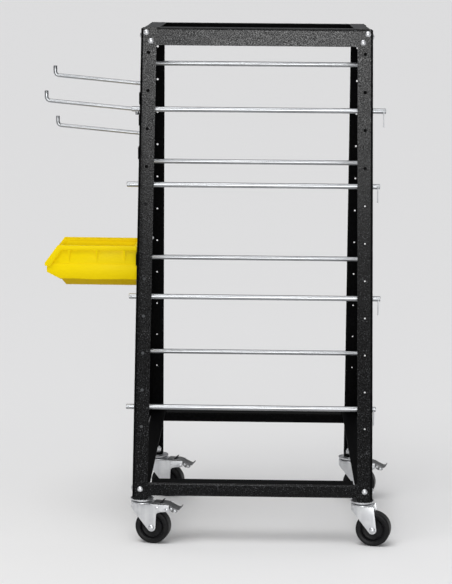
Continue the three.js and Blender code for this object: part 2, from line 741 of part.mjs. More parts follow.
// Bin: an open-fronted tray with a rolled rim, a narrower foot and a catch behind that hangs on a bar
const binBarTop = BIN_BOTTOM + BIN_HEIGHT - BIN_BAR_BELOW_RIM;
const binMiddle = BIN_FRONT_EDGE + BIN_WIDTH / 2;
const binBack = barOutside(binBarTop, binMiddle, SIDE_BAR_HEIGHT) - SEAT_GAP;

function bin() {
  const near = -BIN_WIDTH / 2;
  const far = BIN_WIDTH / 2;
  const sideIn = BIN_RIM_OVERHANG;
  const front = BIN_LENGTH - BIN_RIM_OVERHANG;
  const chamfer = 2 * BIN_FOOT_HEIGHT;
  const body = [
    [0, BIN_FOOT_HEIGHT],
    [front - chamfer, BIN_FOOT_HEIGHT],
    [front, chamfer],
    [front, BIN_LIP_LEVEL],
    [BIN_TOP_LENGTH, BIN_HEIGHT],
    [0, BIN_HEIGHT],
  ];
  const foot = [
    [BIN_WALL, 0],
    [BIN_FOOT_LENGTH, 0],
    [front - chamfer, BIN_FOOT_HEIGHT],
    [front - chamfer, BIN_FOOT_HEIGHT + BIN_WALL],
    [BIN_WALL, BIN_FOOT_HEIGHT + BIN_WALL],
  ];
  const rim = [
    [0, BIN_HEIGHT - BIN_RIM],
    [BIN_TOP_LENGTH - BIN_RIM, BIN_HEIGHT - BIN_RIM],
    [BIN_LENGTH - BIN_RIM, BIN_LIP_LEVEL - BIN_RIM],
    [BIN_LENGTH, BIN_LIP_LEVEL - BIN_RIM],
    [BIN_LENGTH, BIN_LIP_LEVEL],
    [BIN_TOP_LENGTH, BIN_HEIGHT],
    [0, BIN_HEIGHT],
  ];
  const space = [
    [BIN_WALL, BIN_FOOT_HEIGHT + BIN_WALL],
    [front - chamfer - BIN_WALL / 2, BIN_FOOT_HEIGHT + BIN_WALL],
    [front - BIN_WALL, chamfer + BIN_WALL / 2],
    [front - BIN_WALL, BIN_LIP_LEVEL],
    [BIN_LENGTH + BIN_WALL, BIN_LIP_LEVEL],
    [BIN_LENGTH + BIN_WALL, BIN_HEIGHT + BIN_WALL],
    [BIN_WALL, BIN_HEIGHT + BIN_WALL],
  ];
  const well = [
    [2 * BIN_WALL, BIN_WALL],
    [BIN_FOOT_LENGTH - BIN_WALL, BIN_WALL],
    [front - chamfer - BIN_WALL, BIN_FOOT_HEIGHT + 2 * BIN_WALL],
    [2 * BIN_WALL, BIN_FOOT_HEIGHT + 2 * BIN_WALL],
  ];
  const footIn = sideIn + BIN_FOOT_INSET;
  const shell = cut(
    joined([
      solid(plateAcross(body, near + sideIn, far - sideIn)),
      solid(plateAcross(foot, near + footIn, far - footIn)),
      solid(plateAcross(rim, near, far)),
    ]),
    [
      solid(plateAcross(space, near + sideIn + BIN_WALL, far - sideIn - BIN_WALL)),
      solid(plateAcross(well, near + footIn + BIN_WALL, far - footIn - BIN_WALL)),
    ],
  );
  const catchNear = near + footIn;
  const catchFar = far - footIn;
  const over = -(3 * SEAT_GAP + STOCK + BIN_WALL);
  const barTop = BIN_HEIGHT - BIN_BAR_BELOW_RIM;
  const bridge = boxBetween(
    [over, catchNear, barTop + TURN_GAP],
    [BIN_WALL, catchFar, barTop + TURN_GAP + BIN_WALL],
  );
  const tongue = boxBetween(
    [over, catchNear, barTop - BIN_CATCH_DROP],
    [over + BIN_WALL, catchFar, barTop + TURN_GAP + BIN_WALL],
  );
  const whole = joined([shell, solid(bridge), solid(tongue)]);
  const turn = Math.PI - Math.atan(barClosing(binBarTop));
  return geometryOf(whole).rotateZ(turn).translate(binBack, binMiddle, BIN_BOTTOM);
}

for (const side of ["front", "back"]) {
  for (const hand of ["left", "right"]) {
    addPiece(`leg_${side}_${hand}`, leg(side, hand), BLACK_PAINT);
  }
}
topRails();
footRails();
crossRods();
casters();
const HOOKS = [
  { level: "upper", barTop: HEIGHT - UPPER_HOOK_DROP, y: UPPER_HOOK_Y },
  { level: "middle", barTop: HEIGHT - MIDDLE_HOOK_DROP, y: MIDDLE_HOOK_Y },
  { level: "lower", barTop: HEIGHT - LOWER_HOOK_DROP, y: LOWER_HOOK_Y },
];

for (const one of HOOKS) {
  addPiece(`hook_bar_${one.level}`, sideBar(one.barTop), BLACK_PAINT);
  addPiece(`hook_${one.level}`, hook(one), ZINC);
}
addPiece("bin_bar", sideBar(binBarTop), BLACK_PAINT);
addPiece("bin", bin(), YELLOW_PLASTIC);

export default rack;
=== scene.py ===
# %% [markdown]
# # Dressing a clamp rack
# The rack is a tall open frame of black angle iron on four casters. Loose steel rods run across
# it, and on its left side hang three wire hooks and a yellow bin. The imported model is the fixed
# frame that everything here is built around, so it is loaded first.

# %% Load the frame
import math

import bmesh
import bpy
from mathutils import Matrix, Vector


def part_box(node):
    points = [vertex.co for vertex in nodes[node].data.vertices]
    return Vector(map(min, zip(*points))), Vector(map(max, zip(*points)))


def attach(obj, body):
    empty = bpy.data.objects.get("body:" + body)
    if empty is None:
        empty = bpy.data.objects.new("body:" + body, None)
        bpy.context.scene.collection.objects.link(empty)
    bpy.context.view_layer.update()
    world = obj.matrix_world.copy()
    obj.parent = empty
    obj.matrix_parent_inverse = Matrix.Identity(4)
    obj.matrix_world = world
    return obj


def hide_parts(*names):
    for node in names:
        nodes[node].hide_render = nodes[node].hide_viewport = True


MM = 0.001
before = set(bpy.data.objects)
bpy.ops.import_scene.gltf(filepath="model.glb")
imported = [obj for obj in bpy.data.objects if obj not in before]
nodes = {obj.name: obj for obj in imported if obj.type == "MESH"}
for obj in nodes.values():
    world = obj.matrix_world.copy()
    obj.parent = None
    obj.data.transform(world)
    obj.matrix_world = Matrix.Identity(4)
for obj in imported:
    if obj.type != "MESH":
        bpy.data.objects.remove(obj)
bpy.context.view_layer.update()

# %% [markdown]
# ## The camera
# A photograph fixes a camera once enough of its points are matched to known points of the object.
# Here the legs, rails, rods and casters gave the place and the three turns. The lens comes from
# the focal length in pixels, because Blender measures it against the long side of the sensor.

# %% Set the camera
PHOTO_HEIGHT = 584
FOCAL_PIXELS = 2000
SENSOR_MM = 36
EYE = (0.0213, -4.6963, 1.3413)
YAW = 0.0191
PITCH_DOWN = 0.1659
ROLL = 0.008

camera_data = bpy.data.cameras.new("photo_camera")
camera_data.sensor_width = SENSOR_MM
camera_data.lens = FOCAL_PIXELS * SENSOR_MM / PHOTO_HEIGHT
camera = bpy.data.objects.new("photo_camera", camera_data)
bpy.context.scene.collection.objects.link(camera)
aim = Matrix.Rotation(YAW, 4, "Z") @ Matrix.Rotation(math.pi / 2 - PITCH_DOWN, 4, "X")
camera.matrix_world = Matrix.Translation(EYE) @ aim @ Matrix.Rotation(ROLL, 4, "Z")
bpy.context.scene.camera = camera
bpy.context.scene.view_settings.view_transform = "Standard"
print("lens:", round(camera_data.lens, 2), "mm")

# %% [markdown]
# ## Shader sums in Python
# A material is a graph of nodes, and a graph is hard to read as code. Every node could be made and
# linked by hand, in five lines each. Instead one small class wraps a socket, so that plain
# operators add the Math nodes, and one method makes any other node from its type, its settings and
# what goes into its sockets.


# %% Wrap a shader socket
class Shade:
    def __init__(self, tree, socket):
        self.tree = tree
        self.socket = socket

    def node(self, kind, settings, inputs, output=0):
        made = self.tree.nodes.new(kind)
        for name, value in settings.items():
            if name == "stops":
                ramp = made.color_ramp.elements
                while len(ramp) < len(value):
                    ramp.new(1)
                for stop, (position, colour) in zip(ramp, value):
                    stop.position = position
                    stop.color = (*colour, 1)
            else:
                setattr(made, name, value)
        for key, value in inputs.items():
            if isinstance(value, Shade):
                self.tree.links.new(value.socket, made.inputs[key])
            else:
                made.inputs[key].default_value = value
        return Shade(self.tree, made.outputs[output])

    def math(self, operation, first, second):
        return self.node("ShaderNodeMath", {"operation": operation}, {0: first, 1: second})

    def __add__(self, other):
        return self.math("ADD", self, other)

    def __sub__(self, other):
        return self.math("SUBTRACT", self, other)

    def __rsub__(self, other):
        return self.math("SUBTRACT", other, self)

    def __mul__(self, other):
        return self.math("MULTIPLY", self, other)

    __radd__ = __add__
    __rmul__ = __mul__

    def feed(self, shader, socket):
        self.tree.links.new(self.socket, shader.inputs[socket])


print("shader operators: + - *")

# %% [markdown]
# ## What the finishes share
# Every finish starts from a Principled shader and the Object coordinates, which are metres here,
# so a noise of scale 500 has grains of about 2 mm. A noise, a colour ramp and a bump are wanted
# again and again, so each gets a short helper. What is the same all over a finish, such as how
# weakly it mirrors, is set on the shader itself, because only what changes over the surface needs
# nodes.

# %% Start a finish
PLAIN_SPECULAR = 0.5


def start_finish(name, roughness, metallic=0.0, specular=PLAIN_SPECULAR):
    material = bpy.data.materials.new(name)
    material.use_nodes = True
    tree = material.node_tree
    shader = tree.nodes["Principled BSDF"]
    shader.inputs["Roughness"].default_value = roughness
    shader.inputs["Metallic"].default_value = metallic
    shader.inputs["Specular IOR Level"].default_value = specular
    place = Shade(tree, tree.nodes.new("ShaderNodeTexCoord").outputs["Object"])
    return material, shader, place


def along(place, axis):
    return place.node("ShaderNodeSeparateXYZ", {}, {"Vector": place}, "XYZ".index(axis))


def stretch(place, scale):
    return place.node("ShaderNodeMapping", {}, {"Vector": place, "Scale": scale})


def noise(place, scale, detail=2.0, roughness=0.5):
    sockets = {"Vector": place, "Scale": scale, "Detail": detail, "Roughness": roughness}
    return place.node("ShaderNodeTexNoise", {}, sockets)


def ramp(value, *stops):
    return value.node("ShaderNodeValToRGB", {"stops": stops}, {"Fac": value})


def tint(shader, value, *stops):
    ramp(value, *stops).feed(shader, "Base Color")


def bump(shader, height, strength, depth):
    sockets = {"Height": height, "Strength": strength, "Distance": depth}
    height.node("ShaderNodeBump", {}, sockets).feed(shader, "Normal")


print("finish helpers ready")

# %% [markdown]
# ## Textured black paint
# The angle iron has a black powder coat that dried into a coarse grain, and single grains catch
# the light as grey flecks. Modelled grains would cost millions of faces, so one noise gives the
# grain and its bump, and a finer one with a steep ramp picks out the flecks. Inside the angles the
# iron lies in shade, so there it gets a darker, duller copy of the paint, which is painted shade.
# The top ledges catch the light from above, so they get a lighter grey copy, which is painted
# light.


# %% Mix the black paint
def black_paint():
    material, shader, place = start_finish("black_paint", 0.5, specular=0.12)
    grain = noise(place, 440.0, roughness=0.55)
    sparkle = noise(place, 500.0, detail=1.0)
    tint(
        shader,
        sparkle,
        (0.57, (0.001, 0.001, 0.0012)),
        (0.65, (0.018, 0.019, 0.02)),
        (0.73, (0.09, 0.092, 0.096)),
    )
    ramp(grain, (0.38, (0.36, 0.36, 0.36)), (0.6, (0.14, 0.14, 0.14))).feed(shader, "Roughness")
    bump(shader, grain, 0.3, 0.0007)
    return material


# Painted shade: a darker, duller copy of the black paint for faces that lie in shade.
def shaded_paint():
    material, shader, place = start_finish("shaded_paint", 0.55, specular=0.03)
    grain = noise(place, 250.0)
    tint(shader, grain, (0.4, (0.0006, 0.0006, 0.0007)), (0.7, (0.004, 0.004, 0.0045)))
    (0.45 + 0.2 * grain).feed(shader, "Roughness")
    bump(shader, grain, 0.3, 0.0006)
    return material


# Painted light: a lighter grey copy of the black paint for the top ledges, where the light from
# above falls.
def lit_ledge_paint():
    material, shader, place = start_finish("lit_ledge_paint", 0.5, specular=0.03)
    dust_and_light = noise(place, 440.0)
    tint(shader, dust_and_light, (0.35, (0.045, 0.046, 0.048)), (0.65, (0.075, 0.077, 0.08)))
    (0.4 + 0.2 * dust_and_light).feed(shader, "Roughness")
    return material


BLACK_PAINT = black_paint()
SHADED_PAINT = shaded_paint()
LIT_LEDGE_PAINT = lit_ledge_paint()
print("paints:", BLACK_PAINT.name, SHADED_PAINT.name, LIT_LEDGE_PAINT.name)

# %% [markdown]
# ## Bright metal
# The caster forks, drop pins and bolts are zinc plated: bright, a little cloudy and slightly blue,
# with faint streaks up the metal that stand in for the shade of pressed folds in the fork cheeks,
# which is painted shade. The rods and hooks are drawn steel, with fine lines along their length.
# An anisotropic shader could show such lines, but a change of tone is enough at this size, so
# their noise is stretched along X. The brake pedals are a darker, dull steel, which is painted
# shade, because they lie in shade.


# %% Make the metals
def zinc_plate():
    material, shader, place = start_finish("zinc_plate", 0.3, metallic=1.0)
    cloud = noise(place, 60.0, detail=3.0)
    # Painted shade: streaks stretched up the zinc stand in for the shade of pressed folds.
    fold_shade = noise(stretch(place, (120.0, 120.0, 5.0)), 1.0)
    tone = cloud * 0.5 + fold_shade * 0.5
    tint(shader, tone, (0.35, (0.58, 0.59, 0.61)), (0.65, (0.74, 0.75, 0.76)))
    (0.3 + 0.2 * tone).feed(shader, "Roughness")
    bump(shader, noise(place, 700.0), 0.1, 0.0002)
    return material


def drawn_steel():
    material, shader, place = start_finish("drawn_steel", 0.3, metallic=1.0)
    lines = noise(stretch(place, (4.0, 900.0, 900.0)), 1.0, detail=3.0)
    cloud = noise(place, 14.0)
    tone = lines * 0.5 + cloud * 0.5
    tint(shader, tone, (0.3, (0.29, 0.30, 0.31)), (0.7, (0.43, 0.44, 0.45)))
    (0.2 + 0.24 * tone).feed(shader, "Roughness")
    bump(shader, lines, 0.15, 0.0002)
    return material


# Painted shade: a darker metal for the brake pedals, which lie in shade.
def shaded_steel():
    material, shader, place = start_finish("shaded_steel", 0.42, metallic=1.0)
    cloud = noise(place, 90.0, detail=3.0)
    tint(shader, cloud, (0.3, (0.14, 0.143, 0.146)), (0.7, (0.27, 0.273, 0.277)))
    (0.34 + 0.2 * cloud).feed(shader, "Roughness")
    bump(shader, cloud, 0.1, 0.0003)
    return material


ZINC = zinc_plate()
DRAWN_STEEL = drawn_steel()
SHADED_STEEL = shaded_steel()
print("metals:", ZINC.name, DRAWN_STEEL.name, SHADED_STEEL.name)

# %% [markdown]
# ## Rubber and plastic
# The tyres are matt black rubber with dust in the grain, the hubs a slightly glossier moulded
# plastic, and the bin a clear warm yellow with the faint orange-peel skin of an injection
# moulding. The bin's foot is painted a deeper yellow, which is painted shade, because it lies in
# the shadow under the walls. The small plugs in the legs stand in for the shade seen through those
# holes: black at the top and a lighter grey lower down, where more light gets through. Both could
# be painted by hand, but the change only follows the height, so the ramp reads that.

# %% Make the rubber and plastics
FOOT_SHADE_FADE = 20.0
FOOT_SHADE_START = 0.589 * FOOT_SHADE_FADE


def tyre_rubber():
    material, shader, place = start_finish("tyre_rubber", 0.65, specular=0.16)
    dust_and_light = noise(place, 260.0, detail=3.0)
    tint(shader, dust_and_light, (0.35, (0.004, 0.004, 0.0045)), (0.75, (0.012, 0.012, 0.0125)))
    (0.34 + 0.2 * dust_and_light).feed(shader, "Roughness")
    bump(shader, noise(place, 1500.0), 0.2, 0.0002)
    return material


def hub_plastic():
    material, shader, place = start_finish("hub_plastic", 0.4, specular=0.16)
    cloud = noise(place, 130.0)
    tint(shader, cloud, (0.3, (0.004, 0.004, 0.0045)), (0.7, (0.010, 0.010, 0.011)))
    (0.3 + 0.22 * cloud).feed(shader, "Roughness")
    return material


def plug_shade_plastic():
    material, shader, place = start_finish("plug_shade_plastic", 0.6, specular=0.05)
    # Painted shade: black high up, turning to a lighter grey lower down where more light shows
    # through the holes.
    dust_and_light = along(place, "Z") + noise(place, 300.0) * 0.04
    tint(shader, dust_and_light, (0.55, (0.085, 0.088, 0.092)), (0.85, (0.001, 0.001, 0.0012)))
    return material


def yellow_plastic():
    material, shader, place = start_finish("yellow_plastic", 0.4, specular=0.06)
    cloud = noise(place, 22.0)
    # Painted shade: the foot, below the level of the walls, is painted a deeper yellow.
    level = along(place, "Z") * FOOT_SHADE_FADE - FOOT_SHADE_START
    tint(
        shader,
        level + cloud * 0.12,
        (0.38, (0.52, 0.35, 0.001)),
        (0.42, (0.84, 0.62, 0.001)),
        (0.9, (0.90, 0.68, 0.002)),
    )
    (0.34 + 0.16 * cloud).feed(shader, "Roughness")
    bump(shader, noise(place, 900.0), 0.1, 0.0002)
    return material


RUBBER = tyre_rubber()
HUB_PLASTIC = hub_plastic()
PLUG_SHADE_PLASTIC = plug_shade_plastic()
YELLOW = yellow_plastic()
print("soft finishes:", RUBBER.name, HUB_PLASTIC.name, PLUG_SHADE_PLASTIC.name, YELLOW.name)

# %% [markdown]
# ## From a shape to a piece
# Every piece is modelled as a bmesh, because its operators are those of a modeller's hands and
# need no edit mode. A finished shape becomes a mesh object at the origin, with its place in its
# mesh. The object then says which body it moves with, which finish it takes and which solid it
# stands for. Shading is smooth, apart from edges sharper than SHARP.

# %% Turn shapes into pieces
SHARP = math.radians(38)
WELD = MM / 1000


def add_piece(name, shape, material, body, slot, *replaced):
    bmesh.ops.recalc_face_normals(shape, faces=shape.faces)
    mesh = bpy.data.meshes.new(name)
    shape.to_mesh(mesh)
    shape.free()
    mesh.shade_smooth()
    mesh.set_sharp_from_angle(angle=SHARP)
    mesh.materials.append(material)
    piece = bpy.data.objects.new(name, mesh)
    bpy.context.scene.collection.objects.link(piece)
    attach(piece, body)
    if replaced:
        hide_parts(*replaced)
    return piece


def gather(*shapes):
    whole = bmesh.new()
    for shape in shapes:
        mesh = bpy.data.meshes.new("shape")
        shape.to_mesh(mesh)
        shape.free()
        whole.from_mesh(mesh)
        bpy.data.meshes.remove(mesh)
    return whole


def moved(shape, matrix):
    bmesh.ops.transform(shape, matrix=matrix, verts=shape.verts)
    return shape


print("piece helpers ready")

# %% [markdown]
# ## Broken edges
# No real edge is quite sharp, and a narrow bevel is what catches the light along it. A Bevel
# modifier would round a whole piece alike. Here each part of a piece is softened before they are
# joined, so that a thin wire and a thick wall get the width that suits them.


# %% Soften edges
def bevel_edges(shape, edges, width, segments):
    bmesh.ops.bevel(
        shape,
        geom=edges,
        offset=width * MM,
        offset_type="OFFSET",
        segments=segments,
        profile=0.5,
        affect="EDGES",
        material=-1,
        clamp_overlap=True,
    )


def soften(shape, width, segments=2):
    edges = [e for e in shape.edges if len(e.link_faces) == 2 and e.calc_face_angle() > SHARP]
    bevel_edges(shape, edges, width, segments)
    return shape


print("edge helpers ready")

# %% [markdown]
# ## Turned shapes
# Rods, wheels, stems and bolts are round. A plain cylinder has no chamfer, groove or dome, so half
# a section is drawn as pairs of radius and height and spun round Z, as on a lathe. A section that
# is the same at both ends is drawn from its middle outwards and mirrored.

# %% Turn a profile
ALONG_X = Matrix.Rotation(math.pi / 2, 4, "Y")
ALONG_Y = Matrix.Rotation(-math.pi / 2, 4, "X")


def turned(profile, steps=48):
    shape = bmesh.new()
    points = [shape.verts.new((radius * MM, 0, up * MM)) for radius, up in profile]
    edges = [shape.edges.new(pair) for pair in zip(points, points[1:])]
    bmesh.ops.spin(
        shape,
        geom=points + edges,
        cent=(0, 0, 0),
        axis=(0, 0, 1),
        angle=math.tau,
        steps=steps,
        use_merge=True,
    )
    bmesh.ops.remove_doubles(shape, verts=shape.verts, dist=WELD)
    bmesh.ops.recalc_face_normals(shape, faces=shape.faces)
    return shape


def both_ways(profile):
    return [(radius, -up) for radius, up in reversed(profile)] + profile


def closed(profile):
    return profile + profile[:1]


def across_at(x, z):
    return Matrix.Translation((x * MM, 0, z * MM)) @ ALONG_Y


print("lathe ready")

# %% [markdown]
# ## Sheet shapes
# Fork cheeks, pedals and the walls of the bin are flat stock. A scaled cube could only be a plain
# block, so each is one face with the outline of its side, pushed out to its thickness along Y.


# %% Push out a sheet
def sheet_across(outline, near, far):
    shape = bmesh.new()
    face = shape.faces.new([shape.verts.new((x * MM, near * MM, z * MM)) for x, z in outline])
    pushed = bmesh.ops.extrude_face_region(shape, geom=[face])
    fresh = [v for v in pushed["geom"] if isinstance(v, bmesh.types.BMVert)]
    bmesh.ops.translate(shape, vec=(0, (far - near) * MM, 0), verts=fresh)
    bmesh.ops.recalc_face_normals(shape, faces=shape.faces)
    return shape


def block(low, high):
    (x0, y0, z0), (x1, y1, z1) = low, high
    return sheet_across([(x0, z0), (x1, z0), (x1, z1), (x0, z1)], y0, y1)


print("sheet helpers ready")

# %% [markdown]
# ## Bent wire
# The hooks and the drop pins are bent from round wire. A curve with a round bevel could do that,
# but a ring that is pushed along each straight run and spun round each bend gives true arcs, and a
# mesh whose ends are softened like any other edge.


# %% Bend a wire
def wire(corners, diameter, bend, sides=20, bend_steps=10):
    points = [Vector(corner) * MM for corner in corners]
    bend = bend * MM
    runs = [(after - before).normalized() for before, after in zip(points, points[1:])]
    shape = bmesh.new()
    facing = Matrix.Translation(points[0]) @ runs[0].to_track_quat("Z", "Y").to_matrix().to_4x4()
    bmesh.ops.create_circle(
        shape, cap_ends=True, radius=diameter * MM / 2, segments=sides, matrix=facing
    )
    ring = list(shape.edges)
    at = points[0]
    for i, run in enumerate(runs):
        last = i == len(runs) - 1
        turn = 0 if last else run.angle(runs[i + 1])
        stop = points[i + 1] - run * bend * math.tan(turn / 2)
        pushed = bmesh.ops.extrude_edge_only(shape, edges=ring)["geom"]
        fresh = {v for v in pushed if isinstance(v, bmesh.types.BMVert)}
        ring = [e for e in pushed if isinstance(e, bmesh.types.BMEdge) and set(e.verts) <= fresh]
        bmesh.ops.translate(shape, vec=stop - at, verts=list(fresh))
        at = stop
        if last:
            continue
        axis = run.cross(runs[i + 1]).normalized()
        centre = at + axis.cross(run) * bend
        spun = bmesh.ops.spin(
            shape,
            geom=ring + list(fresh),
            cent=centre,
            axis=axis,
            angle=turn,
            steps=bend_steps,
        )
        ring = [e for e in spun["geom_last"] if isinstance(e, bmesh.types.BMEdge)]
        at = centre + Matrix.Rotation(turn, 3, axis) @ (at - centre)
    bmesh.ops.edgeloop_fill(shape, edges=ring)
    bmesh.ops.remove_doubles(shape, verts=shape.verts, dist=WELD)
    bmesh.ops.recalc_face_normals(shape, faces=shape.faces)
    return shape


print("wire helper ready")

# %% [markdown]
# ## Paint on the angle iron
# One leg shows three looks of the same coat. Its outside is grainy, while the faces towards the
# middle of the rack and its bend, which shows as a dark line, lie in shade and get the painted
# shade. The ledges of the foot rails get the painted shade too, and those at the top get the
# lighter painted light. A mask in one material could tell them apart, but a face's direction says
# it more simply, so each face is given the number of its paint.

# %% Pick the paint of a face
OUTSIDE, SHADED, LIT_LEDGE = range(3)
SIDEWAYS = 0.7
UPWARDS = 0.9
BENT = 0.2


def looks_inwards(face):
    middle = face.calc_center_median()
    normal = face.normal
    return any(abs(normal[i]) > SIDEWAYS and normal[i] * middle[i] < 0 for i in (0, 1))


# Faces in shade, leg bends and foot rail ledges take the painted shade, and the top ledges take
# the painted light.
def pick_paint(name, face):
    ledge = "_rail_" in name and face.normal.z > UPWARDS
    if ledge and name.startswith("top_"):
        return LIT_LEDGE
    bend = name.startswith("leg_") and min(abs(face.normal.x), abs(face.normal.y)) > BENT
    return SHADED if ledge or bend or looks_inwards(face) else OUTSIDE


print("paint numbers:", OUTSIDE, SHADED, LIT_LEDGE)

# %% [markdown]
# ## Cuts and bends
# The iron is bent from 3 mm sheet, so its bends are round and its cut edges only broken. The
# solids have the bends already, and the long cuts get a narrow bevel. A bend has to shade smoothly
# into the flats beside it. Averaged normals would also bend the flats' reflections, so each corner
# leans on the broadest of the faces that it touches.

# %% Break the cuts and shade the bends
CUT_EDGE = 0.6
LONG_EDGE = 25
BROAD_PULL = 4


def break_cuts(iron):
    sharp = [edge for edge in iron.edges if edge.calc_face_angle_signed(0) > SHARP]
    cuts = [edge for edge in sharp if edge.calc_length() > LONG_EDGE * MM]
    bevel_edges(iron, cuts, CUT_EDGE, segments=2)
    return len(cuts)


def lean_on_broad_faces(mesh):
    meeting = [[] for _ in mesh.vertices]
    for face in mesh.polygons:
        for corner in face.vertices:
            meeting[corner].append(face)
    normals = []
    for face in mesh.polygons:
        for corner in face.vertices:
            near = [f for f in meeting[corner] if f.normal.angle(face.normal, 0) < SHARP]
            broadest = max(MM**2, *(f.area for f in near))
            pulls = (f.normal * (f.area / broadest) ** BROAD_PULL for f in near)
            normals.append(sum(pulls, Vector()).normalized())
    mesh.normals_split_custom_set(normals)


print("cut edges get", CUT_EDGE, "mm")

# %% [markdown]
# ## Trimmed ends
# The outer corner at the top of each leg is cut off at a slant, and the flat bars on the left side
# thin out at their front ends, so that they hardly stand out past the leg. A boolean could take
# both off, but one flat cut that is closed again is cleaner.

# %% Trim the ends
HEIGHT = 1185
TOP_HALF_WIDTH = 260
CORNER_WIDTH = 5
CORNER_HEIGHT = 3
END_DEPTH = 2.4
END_LENGTH = 34


def cut_off(shape, at, facing):
    cut = bmesh.ops.bisect_plane(
        shape,
        geom=shape.verts[:] + shape.edges[:] + shape.faces[:],
        plane_co=at,
        plane_no=facing.normalized(),
        clear_outer=True,
    )
    rim = [part for part in cut["geom_cut"] if isinstance(part, bmesh.types.BMEdge)]
    bmesh.ops.edgeloop_fill(shape, edges=rim)


def trim_corner(leg, hand):
    at = Vector((hand * TOP_HALF_WIDTH, 0, HEIGHT - CORNER_HEIGHT)) * MM
    cut_off(leg, at, Vector((hand * CORNER_HEIGHT, 0, CORNER_WIDTH)))


def thin_end(bar, corner):
    at = corner + Vector((END_DEPTH, 0, 0)) * MM
    cut_off(bar, at, Vector((-END_LENGTH, -END_DEPTH, 0)))


print("corner cut:", CORNER_WIDTH, "x", CORNER_HEIGHT, "mm")

# %% [markdown]
# ## Angle iron
# The legs, rails and side bars could be drawn afresh, but their solids already have the right
# sections and holes. So a copy of each is merged, its flat faces are joined again, and then it is
# trimmed, its cuts are broken and its faces get their paints.

# %% Dress the angle iron
PAINTED = ("leg_", "top_rail_", "foot_rail_", "hook_bar_", "bin_bar")
FLAT = math.radians(0.5)
SLIVER = MM / 100


def merged_copy(name):
    shape = bmesh.new()
    shape.from_mesh(nodes[name].data)
    bmesh.ops.remove_doubles(shape, verts=shape.verts, dist=WELD)
    bmesh.ops.dissolve_degenerate(shape, dist=SLIVER, edges=shape.edges)
    bmesh.ops.dissolve_limit(shape, angle_limit=FLAT, verts=shape.verts, edges=shape.edges)
    return shape


def dress_iron(name):
    shape = merged_copy(name)
    if name.startswith("leg_"):
        trim_corner(shape, -1 if name.endswith("left") else 1)
    if "_bar" in name:
        thin_end(shape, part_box(name)[0])
    count = break_cuts(shape)
    bmesh.ops.recalc_face_normals(shape, faces=shape.faces)
    paints = [pick_paint(name, face) for face in shape.faces]
    iron = add_piece(f"iron_{name}", shape, BLACK_PAINT, "frame", "frame_paint", name).data
    iron.materials.append(SHADED_PAINT)
    if LIT_LEDGE in paints:
        iron.materials.append(LIT_LEDGE_PAINT)
    lean_on_broad_faces(iron)
    iron.polygons.foreach_set("material_index", paints)
    return count


irons = [name for name in nodes if name.startswith(PAINTED)]
print("cut edges:", {name: dress_iron(name) for name in irons})

# %% [markdown]
# ## Cross rods and their drop pins
# Each rod is a plain steel bar with chamfered ends. A short pin is pressed through its left end,
# and a bent wire pin drops through its right end, so it can't slide out of the legs. Their places
# could be written down, but the boxes of the solids that they stand for give them without a list.

# %% Build the rods
ROD = 12
ROD_CHAMFER = 1
PIN_INSET = 5
ROLL_PIN = 3
ROLL_PIN_LENGTH = 17
DROP_WIRE = 2.8
DROP_STAND = 8.8
DROP_LENGTH = 36
SIDES = ("front", "back")


def build_rod(tag):
    low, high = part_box(f"rod_{tag}")
    half = (high.x - low.x) / 2 / MM
    radius = ROD / 2
    rod_end = [(radius, half - ROD_CHAMFER), (radius - ROD_CHAMFER, half), (0, half)]
    bar = moved(turned(both_ways(rod_end), steps=32), ALONG_X)
    pin_end = [(ROLL_PIN / 2, ROLL_PIN_LENGTH / 2), (0, ROLL_PIN_LENGTH / 2)]
    pin = moved(turned(both_ways(pin_end), steps=16), across_at(PIN_INSET - half, 0))
    place = Matrix.Translation((low + high) / 2)
    whole = moved(gather(bar, pin), place)
    add_piece(f"bar_{tag}", whole, DRAWN_STEEL, f"rod_{tag}", "rod_steel", f"rod_{tag}")
    at = half - PIN_INSET
    corners = [(at, DROP_STAND, 0), (at, -DROP_STAND, 0), (at, -DROP_STAND, -DROP_LENGTH)]
    drop = moved(wire(corners, DROP_WIRE, DROP_WIRE, sides=12, bend_steps=6), place)
    add_piece(f"drop_pin_{tag}", drop, ZINC, f"rod_{tag}", "zinc", f"rod_pin_{tag}")
    return half


ROD_TAGS = [f"{side}_{count}" for side in SIDES for count in (1, 2, 3, 4)]
print("rod half lengths:", [round(build_rod(tag), 1) for tag in ROD_TAGS])

# %% [markdown]
# ## Caster wheels
# A tyre is a ring with round shoulders and a shallow groove on each wall, and the hub inside it is
# a dished disc with a boss for the axle. A torus and a cylinder would lose the grooves and the
# dish, so both are turned. A caster is built round its own swivel axis and set in place at the
# end.

# %% Build the wheels
CASTER_TURN = math.radians(-12)
TRAIL = 27
AXLE_LEVEL = 40
TYRE_WALL = [
    (28, 13),
    (28.6, 14.6),
    (29.8, 15.4),
    (33.2, 15.4),
    (34.2, 16),
    (35.8, 16),
    (37.6, 15.4),
    (39, 14.2),
    (39.8, 12.4),
    (40, 10),
]
HUB_WALL = [
    (4.3, 17),
    (9.3, 17),
    (10.3, 16),
    (10.6, 12.4),
    (21, 12),
    (22.6, 12.8),
    (23.6, 13.6),
    (24.3, 13),
    (24.4, 7),
    (26.2, 7),
    (26.3, 13),
    (27, 14),
    (27.7, 14),
]
CASTER_TAGS = ("front_left", "front_right", "back_left", "back_right")


def caster_matrix(tag):
    low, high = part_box(f"caster_stem_{tag}")
    middle = (low + high) / 2
    return Matrix.Translation((middle.x, middle.y, 0)) @ Matrix.Rotation(CASTER_TURN, 4, "Z")


